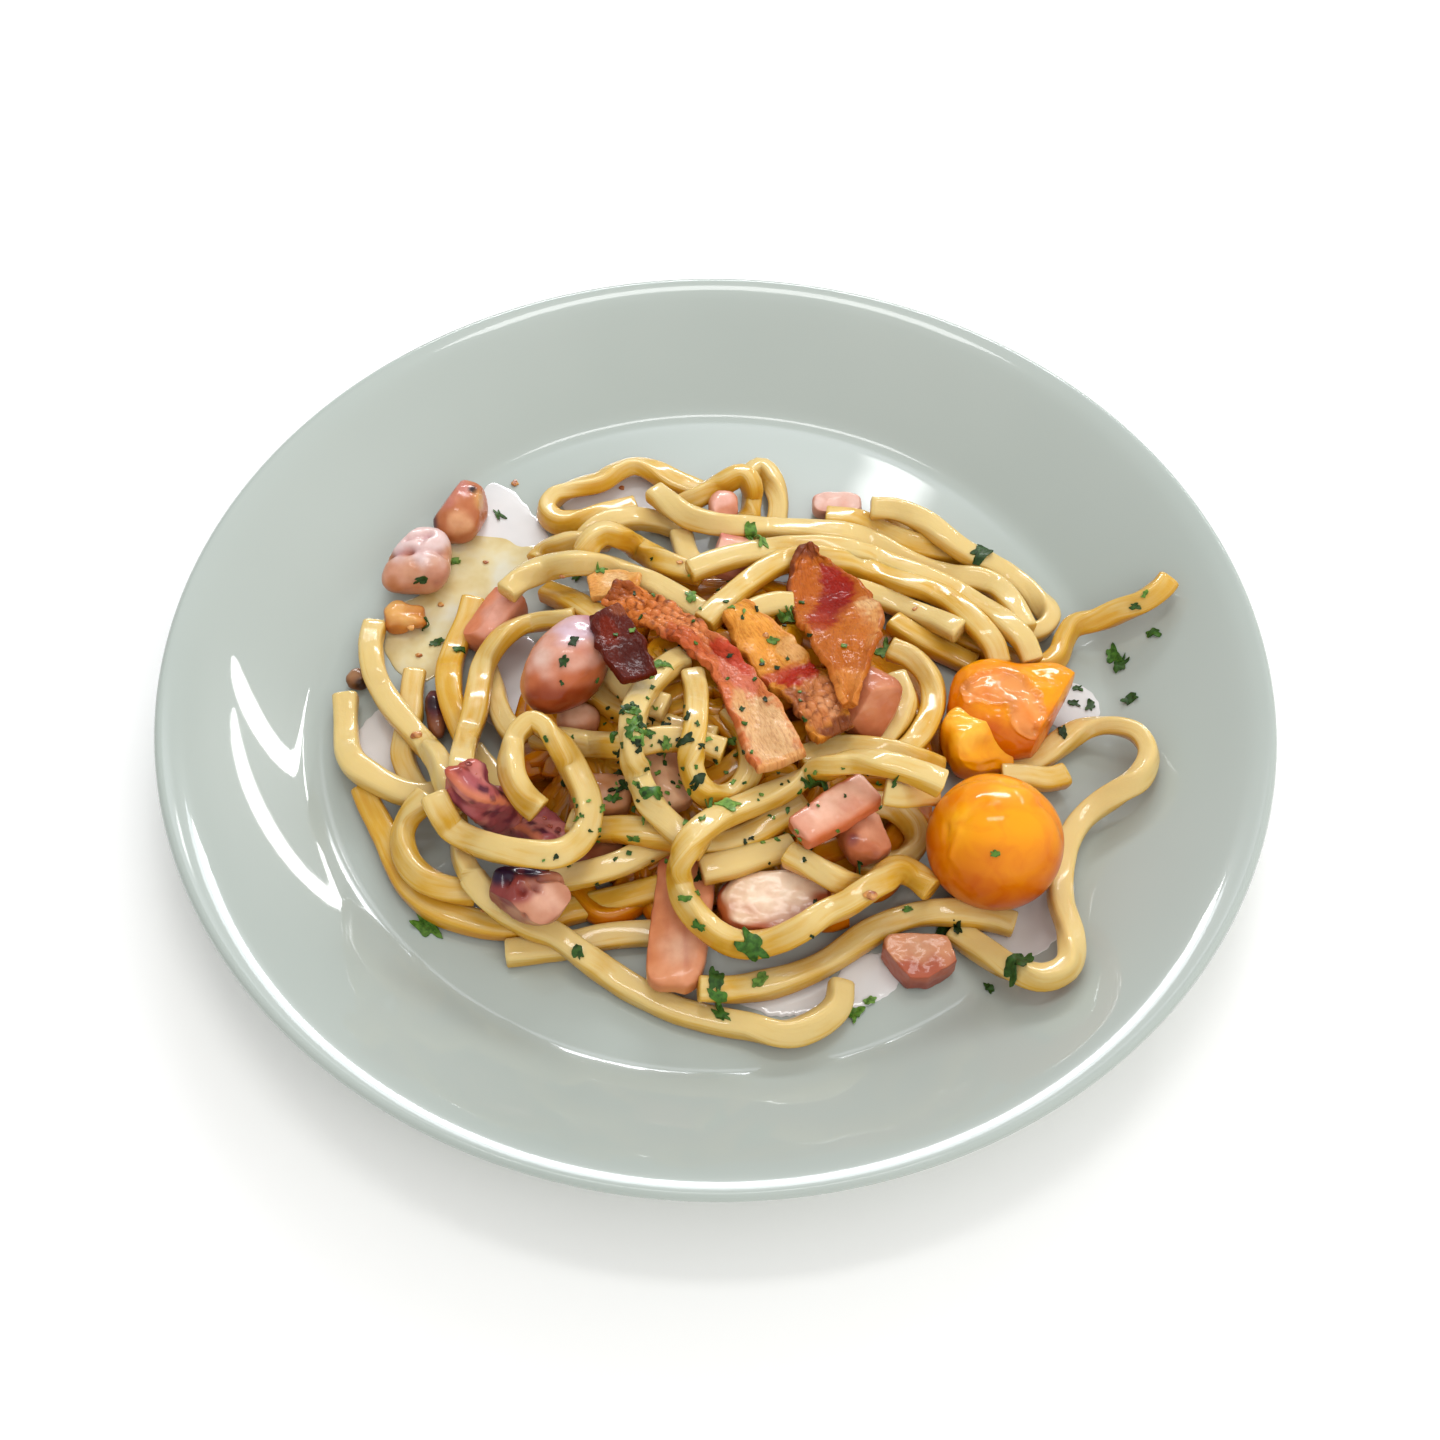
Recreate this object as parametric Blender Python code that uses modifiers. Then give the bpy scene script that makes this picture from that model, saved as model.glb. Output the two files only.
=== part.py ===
"""Scialatielli with octopus, bacon and yellow tomatoes on a pale coupe plate.

Every route and place below is given in millimetres where it is SEEN on the plate's
floor by someone standing at EYE. A strand or a topping that lies higher is moved
along that same line of sight, and its height comes from what lies under it: the
pieces are laid one after the other, lowest first, on a map of the pile's height.
"""
import math

import bmesh
import bpy
import numpy as np
from mathutils import Vector
from mathutils.bvhtree import BVHTree

MM = 0.001

# Plate, in millimetres.
PLATE_RADIUS = 130.0
PLATE_HEIGHT = 27.0
WELL_FLOOR = 6.5
WELL_RADIUS = 95.0
WELL_BEND = 2.5          # how softly the floor turns up into the slope
LIP_RADIUS = 125.0
LIP_BEND = 1.5
LIP_FLATTENING = 0.6     # share of the slope that the lip loses
PLATE_WALL = 4.5
FOOT_INNER = 66.0
FOOT_OUTER = 75.0
PLATE_STEPS = 44

# Pasta.
STRAND_WIDTH = 6.6
STRAND_THICKNESS = 4.8
FACET_LENGTH = 22.0      # of a straight stretch of a strand
FACET_TURN = 36.0        # degrees that a strand may turn from one facet to the next
SINK = 1.3               # how deep a strand presses into the one below
EDGE_ROLL = 75.0         # degrees a strand turns on its edge in a tight bend
FLAT_BEND = 0.03         # curvature, per mm, up to which a strand stays flat
EDGE_BEND = 0.12         # and from which it stands on its edge
ROLL_REACH = 6.0         # how far along a strand such a turn spreads
SUPPORT_REACH = 2.0      # how far aside of its middle a strand feels what carries it
BRIDGE_REACH = 3.5       # and how far ahead
MOUND_CENTRE = (3.0, -8.0)
MOUND_REACH = (56.0, 52.0)
MOUND_HEIGHT = 19.0

GAP = 0.4                # clearance between separate pieces
ROOM = 0.6               # what the noodles keep clear of a topping
EYE = np.array([0.0, -248.0, 366.0])

# Height map over the plate.
CELL = 1.0
CELLS = 264
ROUTE_STEP = 1.2
SETTLING = 16            # rounds in which a piece finds its height

WELDS = (0.05, 0.03, 0.02, 0.01, 0.005, 0.002)    # slivers to close up, widest first

rng = np.random.default_rng(11)


# ---------------------------------------------------------------- plate profile

def softplus(x):
    return np.logaddexp(0.0, x)


def plate_top(radius):
    """Height of the plate's upper face at a distance from its middle."""
    def climb(r):
        slope = WELL_BEND * softplus((r - WELL_RADIUS) / WELL_BEND)
        lip = LIP_BEND * softplus((r - LIP_RADIUS) / LIP_BEND)
        return slope - LIP_FLATTENING * lip
    rise = PLATE_HEIGHT - WELL_FLOOR
    return WELL_FLOOR + rise * climb(np.asarray(radius, float)) / climb(PLATE_RADIUS)


# ---------------------------------------------------------------- the height map

def seen_to_true(seen, z):
    """Moves points seen on the plate's floor up their lines of sight to height z."""
    seen = np.atleast_2d(np.asarray(seen, float))
    share = np.reshape((np.asarray(z, float) - WELL_FLOOR) / (EYE[2] - WELL_FLOOR), (-1, 1))
    return seen + (EYE[:2] - seen) * share


def smooth_route(points, step):
    """Even points along a Catmull-Rom curve through the given ones."""
    pts = np.asarray(points, float)
    ext = np.vstack([2 * pts[0] - pts[1], pts, 2 * pts[-1] - pts[-2]])
    run = []
    for a, b, c, d in zip(ext, ext[1:], ext[2:], ext[3:]):
        t = np.linspace(0, 1, 12, endpoint=False)[:, None]
        run.append(0.5 * (2 * b + (c - a) * t + (2 * a - 5 * b + 4 * c - d) * t ** 2
                          + (3 * b - a - 3 * c + d) * t ** 3))
    run = np.vstack(run + [pts[-1:]])
    along = np.r_[0, np.cumsum(np.linalg.norm(np.diff(run, axis=0), axis=1))]
    spots = np.linspace(0, along[-1], max(4, round(along[-1] / step) + 1))
    return np.stack([np.interp(spots, along, run[:, k]) for k in range(run.shape[1])], 1)


def blur(values, spread):
    reach = int(np.ceil(3 * spread))
    weights = np.exp(-0.5 * (np.arange(-reach, reach + 1) / spread) ** 2)
    padded = np.r_[np.full(reach, values[0]), values, np.full(reach, values[-1])]
    return np.convolve(padded, weights / weights.sum(), "valid")


def widen(values, reach):
    return np.array([values[max(0, i - reach):i + reach + 1].max() for i in range(len(values))])


def grown(grid, radius):
    """The highest value within radius of each cell."""
    reach = int(np.ceil(radius / CELL))
    out = grid.copy()
    for i in range(-reach, reach + 1):
        for j in range(-reach, reach + 1):
            if 0 < math.hypot(i, j) * CELL <= radius:
                out = np.maximum(out, np.roll(grid, (i, j), (0, 1)))
    return out


class Pile:
    """Height of the noodles, and of everything else, over the plate."""

    def __init__(self):
        axis = (np.arange(CELLS) - CELLS / 2 + 0.5) * CELL
        self.start = axis[0]
        self.x, self.y = np.meshgrid(axis, axis, indexing="ij")
        self.other = plate_top(np.hypot(self.x, self.y))
        self.noodle = mound_top(self.x, self.y)

    def at(self, grid, xy):
        u = np.clip((xy[:, 0] - self.start) / CELL, 0, CELLS - 1.001)
        v = np.clip((xy[:, 1] - self.start) / CELL, 0, CELLS - 1.001)
        i, j = u.astype(int), v.astype(int)
        fu, fv = u - i, v - j
        return (grid[i, j] * (1 - fu) * (1 - fv) + grid[i + 1, j] * fu * (1 - fv)
                + grid[i, j + 1] * (1 - fu) * fv + grid[i + 1, j + 1] * fu * fv)

    def lay(self, seen, width, thickness, fused, tilt=True, stiff=2.6):
        """Drapes a ribbon over the pile and returns its centres and rolls."""
        plan = smooth_route(seen, ROUTE_STEP)
        count = len(plan)
        share = np.linspace(0, 1, count)
        half_w = 0.5 * np.broadcast_to(width(share) if callable(width) else width, count)
        half_t = 0.5 * np.broadcast_to(thickness(share) if callable(thickness) else thickness,
                                       count)
        noodle = grown(self.noodle, SUPPORT_REACH)
        other = grown(self.other, 0.9 * float(half_w.max()))
        z = np.full(count, WELL_FLOOR)
        for _ in range(SETTLING):
            true = seen_to_true(plan, z)
            roll = roll_of(true) if tilt else np.zeros(count)
            tall = half_w * np.sin(roll) + half_t * np.cos(roll)
            need = np.maximum(self.at(noodle, true) - (SINK if fused else -ROOM),
                              self.at(other, true) + GAP) + tall
            want = blur(widen(need, round(BRIDGE_REACH / ROUTE_STEP)), stiff / ROUTE_STEP)
            z = 0.5 * z + 0.5 * want
        true = seen_to_true(plan, z)
        wide = half_w * np.cos(roll) + half_t * np.sin(roll)
        grid = self.noodle if fused else self.other
        for p, h, a, b in zip(true, z, wide, tall):
            near = np.hypot(self.x - p[0], self.y - p[1])
            inside = near < a
            top = h + b * np.clip(1 - (near[inside] / a) ** 6, 0, 1) ** 0.5
            grid[inside] = np.maximum(grid[inside], top)
        return np.column_stack([true, z]), roll, half_w, half_t

    def drop(self, seen, points, share=0.8):
        """Lets a rigid piece down until it rests; returns where its origin comes."""
        z = WELL_FLOOR
        for _ in range(SETTLING):
            origin = seen_to_true([seen], z)[0]
            place = points + np.array([origin[0], origin[1], 0.0])
            on_noodles = np.sort(self.at(self.noodle, place) - place[:, 2])[::-1]
            contact = on_noodles[int((1 - share) * 0.5 * len(on_noodles))]
            on_others = (self.at(self.other, place) - place[:, 2]).max() + GAP
            z = 0.5 * z + 0.5 * max(contact, on_others)
        origin = seen_to_true([seen], z)[0]
        return np.array([origin[0], origin[1], z])

    def stamp(self, points):
        """Raises the map to a topping's own upper side, and what a strand over it needs."""
        i = np.round((points[:, 0] - self.start) / CELL).astype(int)
        j = np.round((points[:, 1] - self.start) / CELL).astype(int)
        np.maximum.at(self.other, (i, j), points[:, 2] + ROOM - GAP)


def mound_top(x, y):
    rho = ((x - MOUND_CENTRE[0]) / MOUND_REACH[0]) ** 2 + ((y - MOUND_CENTRE[1])
                                                           / MOUND_REACH[1]) ** 2
    return WELL_FLOOR + GAP + MOUND_HEIGHT * np.clip(1 - rho, 0, 1) ** 0.85


def roll_of(true):
    """A ribbon turns on its edge where the route bends tightly."""
    go = np.gradient(true, axis=0)
    turn = np.gradient(go, axis=0)
    cross = np.abs(go[:, 0] * turn[:, 1] - go[:, 1] * turn[:, 0])
    bend = cross / np.maximum(1e-6, (go ** 2).sum(1)) ** 1.5
    bend = blur(bend, ROLL_REACH / ROUTE_STEP)
    share = np.clip((bend - FLAT_BEND) / (EDGE_BEND - FLAT_BEND), 0, 1)
    return np.radians(EDGE_ROLL) * share


# ---------------------------------------------------------------- materials

def linear(channel):
    channel /= 255.0
    return channel / 12.92 if channel <= 0.04045 else ((channel + 0.055) / 1.055) ** 2.4


def finish(name, hex_colour, roughness, subsurface=0.0):
    """A Principled BSDF in an sRGB colour."""
    material = bpy.data.materials.get(name) or bpy.data.materials.new(name)
    material.use_nodes = True
    shader = material.node_tree.nodes["Principled BSDF"]
    rgb = [linear(int(hex_colour[i:i + 2], 16)) for i in (1, 3, 5)]
    shader.inputs["Base Color"].default_value = (*rgb, 1.0)
    shader.inputs["Roughness"].default_value = roughness
    shader.inputs["Subsurface Weight"].default_value = subsurface
    return material


FINISHES = {
    "glazed stoneware": ("#BEC8BE", 0.12, 0.0),
    "boiled egg pasta": ("#F0D27A", 0.38, 0.3),
    "boiled octopus": ("#C98E80", 0.35, 0.3),
    "charred octopus": ("#7A3B40", 0.42, 0.1),
    "fried bacon": ("#C4623A", 0.4, 0.1),
    "bacon fat": ("#E6AE6A", 0.35, 0.3),
    "yellow tomato": ("#F29A14", 0.2, 0.3),
}


def finished(obj, finish_name):
    obj.data.materials.clear()
    obj.data.materials.append(finish(finish_name, *FINISHES[finish_name]))
    return obj


# ---------------------------------------------------------------- making meshes

def collection(name):
    made = bpy.data.collections.new(name)
    bpy.context.scene.collection.children.link(made)
    return made


def new_object(name, mesh, home):
    obj = bpy.data.objects.new(name, mesh)
    home.objects.link(obj)
    return obj


def mesh_from(bm, name):
    bmesh.ops.recalc_face_normals(bm, faces=bm.faces)
    if bm.calc_volume(signed=True) < 0:
        bmesh.ops.reverse_faces(bm, faces=bm.faces)
    mesh = bpy.data.meshes.new(name)
    bm.to_mesh(mesh)
    bm.free()
    return mesh


def applied(obj):
    """Replaces an object's mesh by its evaluated one and clears its modifiers."""
    bpy.context.view_layer.update()
    graph = bpy.context.evaluated_depsgraph_get()
    mesh = bpy.data.meshes.new_from_object(obj.evaluated_get(graph))
    obj.modifiers.clear()
    obj.data = mesh
    return obj


def curve_to_mesh(curve_object, name, home):
    """The evaluated tube as a mesh with its caps welded on."""
    bpy.context.view_layer.update()
    graph = bpy.context.evaluated_depsgraph_get()
    mesh = bpy.data.meshes.new_from_object(curve_object.evaluated_get(graph))
    bm = bmesh.new()
    bm.from_mesh(mesh)
    bmesh.ops.remove_doubles(bm, verts=bm.verts, dist=1e-6)
    obj = new_object(name, mesh_from(bm, name), home)
    obj.matrix_world = curve_object.matrix_world
    bpy.data.objects.remove(curve_object)
    return obj


def strand_section(home):
    """The cut end of a strand: a flat bar."""
    data = bpy.data.curves.new("strand_section", "CURVE")
    spline = data.splines.new("POLY")
    w, t = 0.46 * STRAND_WIDTH, 0.46 * STRAND_THICKNESS
    corners = [(w, t), (-w, t), (-w, -t), (w, -t)]
    spline.points.add(len(corners) - 1)
    for point, (x, y) in zip(spline.points, corners):
        point.co = (x * MM, y * MM, 0, 1)
    spline.use_cyclic_u = True
    obj = bpy.data.objects.new("strand_section", data)
    home.objects.link(obj)
    obj.hide_render = True
    obj.display_type = "WIRE"
    return obj


def facet_spots(centres, rolls):
    """Which of a route's points its facets meet at: more of them where it turns."""
    run = np.diff(centres, axis=0)
    length = np.linalg.norm(run, axis=1)
    ahead = run / length[:, None]
    turn = np.r_[0, np.arccos(np.clip((ahead[1:] * ahead[:-1]).sum(1), -1, 1))]
    turn = turn + 0.5 * np.abs(np.diff(rolls))
    cost = np.r_[0, np.cumsum(length / FACET_LENGTH + turn / math.radians(FACET_TURN))]
    count = max(2, int(round(cost[-1])))
    even = np.linspace(0, cost[-1], count + 1)
    return np.unique([int(np.abs(cost - c).argmin()) for c in even])


def strand_object(name, centres, rolls, section, home):
    data = bpy.data.curves.new(name, "CURVE")
    data.dimensions = "3D"
    data.twist_mode = "Z_UP"
    data.bevel_mode = "OBJECT"
    data.bevel_object = section
    data.use_fill_caps = True
    picked = facet_spots(centres, rolls)
    spline = data.splines.new("POLY")
    spline.points.add(len(picked) - 1)
    for point, i in zip(spline.points, picked):
        point.co = (*(centres[i] * MM), 1)
        point.tilt = rolls[i]
    curve_object = bpy.data.objects.new(name, data)
    home.objects.link(curve_object)
    return curve_to_mesh(curve_object, name, home)


def ribbon_mesh(name, centres, rolls, half_w, half_t, rings, sides=8, blunt=3.0):
    """A loft along a route between flat sections whose width changes."""
    bm = bmesh.new()
    go = np.gradient(centres, axis=0)
    picked = np.unique(np.round(np.linspace(0, len(centres) - 1, rings)).astype(int))
    last = None
    for i in picked:
        ahead = Vector(go[i]).normalized()
        side = Vector((-ahead.y, ahead.x, 0)).normalized()
        up = ahead.cross(side)
        side, up = (side * math.cos(rolls[i]) + up * math.sin(rolls[i]),
                    up * math.cos(rolls[i]) - side * math.sin(rolls[i]))
        ring = []
        for k in range(sides):
            a = 2 * math.pi * (k + 0.5) / sides
            c, s = math.cos(a), math.sin(a)
            across = math.copysign(abs(c) ** (2 / blunt), c) * half_w[i]
            above = math.copysign(abs(s) ** (2 / blunt), s) * half_t[i]
            ring.append(bm.verts.new((Vector(centres[i]) + side * across + up * above) * MM))
        if last:
            for k in range(sides):
                bm.faces.new((last[k], last[(k + 1) % sides], ring[(k + 1) % sides], ring[k]))
        else:
            bm.faces.new(ring[::-1])
        last = ring
    bm.faces.new(last)
    return mesh_from(bm, name)


def lump_mesh(name, size, yaw, blunt, bumps, columns, rows):
    """A bitten-off or cut piece: a sphere squared off and dented."""
    bm = bmesh.new()
    bmesh.ops.create_uvsphere(bm, u_segments=columns, v_segments=rows, radius=1)
    phase = rng.uniform(0, 2 * math.pi, 3)
    turn = math.radians(yaw)
    for v in bm.verts:
        x, y, z = (math.copysign(abs(c) ** (2 / blunt), c) for c in v.co)
        swell = 1 + bumps * (math.sin(3 * v.co.x + phase[0]) + math.sin(4 * v.co.y + phase[1])
                             + math.sin(3 * v.co.z + phase[2])) / 3
        x, y, z = x * size[0] * swell, y * size[1] * swell, z * size[2] * swell
        v.co = Vector((x * math.cos(turn) - y * math.sin(turn),
                       x * math.sin(turn) + y * math.cos(turn), z)) * MM
    return mesh_from(bm, name)


def surface_points(mesh):
    """Points spread over a mesh's faces, in millimetres."""
    mesh.calc_loop_triangles()
    corners = np.array([v.co for v in mesh.vertices]) / MM
    out = [corners]
    for tri in mesh.loop_triangles:
        a, b, c = corners[list(tri.vertices)]
        n = int(np.clip(max(np.linalg.norm(b - a), np.linalg.norm(c - a)) / CELL, 1, 24)) + 1
        s, t = np.meshgrid(np.linspace(0, 1, n), np.linspace(0, 1, n))
        keep = s + t <= 1.0001
        s, t = s[keep][:, None], t[keep][:, None]
        out.append(a + s * (b - a) + t * (c - a))
    return np.vstack(out)


# ---------------------------------------------------------------- what lies on the plate
# Stacking order, lowest first. "strand": a noodle's route. "lump": a rounded piece by its
# place, half sizes, yaw, bluntness, bumps. "ribbon": a piece along a route with its widths
# and thickness. Places are as seen on the plate's floor.

STACK = [
    ("strand", "left_low", [(-83, -25), (-80, -31), (-76, -38), (-73, -45), (-69, -51.5),
                            (-63, -56.5), (-56, -59.3), (-48, -61), (-40, -60), (-33, -57),
                            (-25, -54.5), (-17, -52), (-9, -49.5)]),
    ("strand", "front_low", [(-46, -67.5), (-40, -66.7), (-33, -65.5), (-25, -63.3),
                             (-18, -62.3), (-11, -62)]),
    ("strand", "left_sliver", [(-74.5, 9), (-74.5, 3), (-74, -4), (-74.5, -10), (-74.5, -16),
                               (-72, -22), (-69, -27)]),
    ("lump", "octopus_brown_bit", "charred octopus", (-88, 6.5), (3.0, 2.8, 2.2), 0, 2.2, 0.1),
    ("strand", "left_flat", [(-90.5, 1.5), (-89.5, -6), (-88.3, -13), (-86, -18), (-81, -22),
                             (-75, -25.3), (-69, -26.8), (-64, -26)]),
    ("lump", "octopus_dark_sliver", "charred octopus", (-68, -3.5), (2.4, 7.0, 2.4), 12, 2.2, 0.1),
    ("strand", "left_curl", [(-67.5, -27), (-71, -32), (-72.3, -38), (-70.5, -44),
                             (-66.5, -48.8), (-60.5, -51.5), (-54, -52.5)]),
    ("strand", "left_shade", [(-58, -14), (-55, -18), (-51, -23), (-47, -27), (-42, -28)]),
    ("strand", "left_inner", [(-58, 12), (-55, 5), (-53, -1), (-50.5, -6.5), (-47, -11)]),
    ("strand", "back_left_loop", [(-5, 69), (-12, 72.5), (-18, 76.5), (-23, 78), (-28, 75.5),
                                  (-32, 72), (-39, 69.5), (-44, 66), (-45.5, 61.5), (-42, 57.8),
                                  (-36, 58.5), (-29, 61.5), (-22, 63.5)]),
    ("strand", "left_rise", [(-62, 31.5), (-63, 25), (-65, 17), (-66, 10), (-65.3, 3), (-63, -4),
                             (-60, -11)]),
    ("strand", "back_left_b", [(-36, 49), (-34, 54), (-29.5, 58), (-23, 59.5), (-16, 58.5),
                               (-10, 56)]),
    ("strand", "back_left_a", [(-47, 44), (-44, 48.5), (-39, 51), (-34, 51.5), (-29, 52.5)]),
    ("strand", "back_left_low", [(-44, 35), (-38, 32), (-32, 28), (-27, 24)]),
    ("strand", "back_gap_strand", [(-10, 55), (-8, 47), (-5, 42)]),
    ("lump", "octopus_left_chunk", "boiled octopus", (-56, 26), (4.6, 9.0, 4.8), -28, 3.0, 0.06),
    ("strand", "back_wave", [(-35, 47), (-33, 52), (-29.5, 54.5), (-25.5, 53), (-21, 49.5),
                             (-15, 45.5), (-9, 42.5), (-4, 41)]),
    ("strand", "back_left_wide", [(-54, 34), (-50, 39), (-44, 42.5), (-37, 44.3), (-30, 43.5),
                                  (-24, 41), (-17, 37.5), (-10, 33), (-4, 28.5)]),
    ("strand", "right_outer", [(54, -60), (59, -64), (66, -69), (73, -71.5), (79, -68.5),
                               (80.5, -61), (79, -52), (80, -43), (83, -35), (88, -28.5),
                               (95, -23), (101, -18.5), (104, -12), (102, -6), (96, -3.8),
                               (89, -5), (83, -9), (78, -13.5), (73, -17), (66, -18)]),
    ("strand", "right_stub", [(68, -19), (74, -19), (79, -19.5), (83, -18.5)]),
    ("strand", "right_tail", [(56, 25), (64, 20.5), (71, 16.5), (76, 14.5), (81, 13.5),
                              (85, 17), (87, 22), (90, 26.5),
                              (96, 28.5), (102, 31.5), (108, 34.5), (113, 38.5), (115.5, 41.5)]),
    ("strand", "back_right_c", [(44, 64), (48, 60), (50.5, 55)]),
    ("lump", "octopus_back_slab", "boiled octopus", (31, 65), (6.5, 3.4, 3.0), 0, 3.0, 0.05),
    ("strand", "back_right_b", [(28, 61), (36, 60), (43, 56), (50, 52.5), (58, 50), (65, 48)]),
    ("strand", "back_right_a", [(40, 64.5), (47, 64), (54, 60), (59, 55), (64, 50), (70, 46),
                                (76, 41), (81, 35), (84, 29.5), (81.5, 25), (76, 23.5),
                                (71, 25)]),
    ("strand", "back_arch_b", [(7, 74), (11, 77.5), (14, 73.5), (15.5, 66), (15, 59), (14, 54)]),
    ("strand", "back_arch_a", [(-11, 63.5), (-6, 67), (0, 71.5), (5, 75), (8, 73), (8.5, 66),
                               (7.5, 59.5)]),
    ("lump", "octopus_back_bit", "boiled octopus", (1, 64), (3.8, 4.5, 3.0), 0, 2.4, 0.08),
    ("strand", "back_long_a", [(-17.5, 69), (-13, 64.5), (-8, 60.5), (0, 58), (8, 57),
                               (16, 56.5), (25, 56), (34, 54.8), (41, 52), (47, 48), (53, 44),
                               (60, 41.5), (67, 40.8), (72, 37.5), (75.5, 31), (77.5, 25)]),
    ("strand", "middle_short", [(6, 27), (10, 30), (15, 32), (19, 32)]),
    ("strand", "back_dark", [(44, 27), (50, 22), (57, 17.5), (64, 13.5)]),
    ("lump", "octopus_back_middle", "boiled octopus", (3.5, 48), (5.5, 7.5, 3.2), -18, 2.4, 0.08),
    ("strand", "back_long_b", [(-7.5, 42), (-2, 44.8), (6, 47.8), (14, 50), (23, 51), (31, 50.5),
                               (38, 48.5), (45, 45), (52, 41.8), (59, 38), (66, 32.5),
                               (72, 27.5), (76.5, 22), (78.5, 15)]),
    ("strand", "back_long_c", [(-3.5, 25.5), (1, 31), (6, 37), (11, 42), (17, 46), (25, 47.5),
                               (33, 45.8), (40, 42.5), (47, 39.5), (54, 37), (60, 33), (65, 27),
                               (69, 20), (70, 14)]),
    ("strand", "back_thick", [(22, 40), (33, 37.5), (41, 34.5), (49, 30.5), (56, 27), (61, 24)]),
    ("strand", "right_inner_b", [(44, 10), (46, 3), (44, -3), (40, -9), (37, -14)]),
    ("strand", "right_inner_a", [(43, 18.5), (48.5, 15.5), (52.5, 9.5), (53, 2), (50.5, -5),
                                 (46.5, -11), (42, -15)]),
    ("lump", "octopus_cut_end", "boiled octopus", (36.5, 2), (7.0, 7.6, 6.0), -30, 2.8, 0.04),
    ("strand", "left_long", [(-86, 23.5), (-86.3, 17), (-84.5, 9), (-81, 2), (-76, -5),
                             (-70.5, -11.5), (-66.5, -16.5), (-64, -22), (-61.5, -29),
                             (-59.5, -36), (-58, -43), (-54, -50), (-48, -56), (-41, -60.5),
                             (-35, -63), (-29, -67.5), (-23, -72), (-16, -76.5), (-8, -80.5),
                             (0, -82.8), (8, -84.3), (16, -86), (23, -83.5), (27.5, -79),
                             (28.5, -73.5)]),
    ("strand", "tall_arch", [(-36, 27), (-38, 26.5), (-44, 25.3), (-50, 23.5), (-54.5, 19),
                             (-57.5, 12), (-58.3, 5), (-58.7, -3), (-60, -11), (-60.5, -18),
                             (-60, -24)]),
    ("strand", "behind_a", [(-34, 9), (-29, 3.5), (-24, -1), (-18, -4), (-12, -6), (-7, -8),
                            (0, -10)]),
    ("strand", "behind_b", [(-30, 14), (-26, 9.5), (-22, 5), (-17, 1), (-12, -1)]),
    ("lump", "octopus_small_bean", "boiled octopus", (-33.5, -4.5), (5.0, 4.4, 3.8), 0, 2.2, 0.05),
    ("lump", "octopus_dark_slice", "charred octopus", (-25.5, -43), (8.0, 4.0, 2.6), 10, 2.4,
     0.05),
    ("strand", "low_arc", [(-37, -49), (-30, -47.3), (-22, -44.5), (-15, -40.5), (-10, -38)]),
    ("lump", "octopus_side_slab", "boiled octopus", (-27, -26), (7.0, 5.0, 3.4), 0, 3.2, 0.05),
    ("lump", "octopus_long_chunk", "boiled octopus", (-12, -20), (4.8, 9.6, 4.0), 24, 3.0, 0.05),
    ("lump", "octopus_head", "boiled octopus", (-37, 12), (8.8, 13.0, 8.2), -32, 2.2, 0.04),
    ("lump", "octopus_front_strip", "boiled octopus", (-7.2, -58.5), (6.6, 17.0, 3.4), -5, 3.0,
     0.05),
    ("strand", "middle_left", [(-44, -9.5), (-37, -10.5), (-30, -11.5), (-22, -11.5),
                               (-14, -10), (-6, -10), (2, -13)]),
    ("strand", "low_cross", [(-34, -33), (-28, -35), (-20, -35.3), (-12, -36.5), (-5, -38.5),
                             (2, -38.8), (9, -36), (15, -31.5), (21, -27)]),
    ("strand", "behind_slice", [(-3, -46), (4, -44), (11, -41.5), (18, -39)]),
    ("strand", "sprinkled_loop", [(-8, 14.5), (-12.5, 11.5), (-16.5, 6.5), (-19.5, 0),
                                  (-20.4, -7), (-20, -14), (-18.3, -20.5), (-15.5, -27),
                                  (-11.5, -32.5), (-7, -37), (-2, -40)]),
    ("strand", "inner_loop", [(-6, 10), (-5, 3), (-5, -4), (-5.7, -11), (-5.7, -18),
                              (-3.5, -23.5), (0.5, -26), (5, -24), (8, -19), (8.5, -13),
                              (7, -7), (3, -1)]),
    ("lump", "octopus_round_slice", "boiled octopus", (14, -54), (12.6, 7.6, 4.6), 4, 2.3, 0.03),
    ("strand", "right_ring", [(37, -27), (42, -28), (46, -32), (47, -37), (44, -41.5),
                              (38, -43.5), (33, -43)]),
    ("strand", "cut_stub", [(17, -41), (23, -44.5), (29, -48), (34, -50.5)]),
    ("lump", "octopus_sucker_chunk", "charred octopus", (35, -37), (5.6, 5.6, 4.6), 15, 2.6, 0.1),
    ("ribbon", "octopus_pink_bar", "boiled octopus", [(19, -36), (24, -32.5), (30, -28),
                                                      (37, -23)], (8, 9.5, 9), 5.5),
    ("strand", "right_cross_b", [(40, -23.7), (45, -24.6), (52, -24)]),
    ("strand", "right_cross_a", [(20, -15), (25, -13), (29.5, -11.6), (36, -11.6), (43, -12.5),
                                 (47.4, -14.3), (53, -17)]),
    ("lump", "octopus_front_chunk", "boiled octopus", (46, -68), (8.0, 5.4, 4.2), 0, 3.0, 0.05),
    ("strand", "front_flat", [(-3, -75.5), (5, -75.5), (13, -74), (20, -71.5), (27, -67.5),
                              (34, -62), (41, -58), (48, -56), (56, -55.6), (63, -56.8),
                              (68, -58.5)]),
    ("strand", "big_loop", [(54, -21.5), (49.7, -19.2), (43, -16.5), (36, -15.2), (30, -16),
                            (23, -19), (16.5, -23.4), (10.8, -26.4), (4.7, -29.5),
                            (-0.5, -32.5), (-4.4, -36.5), (-7, -41.3), (-7.9, -46.5),
                            (-7, -52.2), (-4, -57.4), (0.4, -61.7), (5.6, -64.4), (12, -64),
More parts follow.
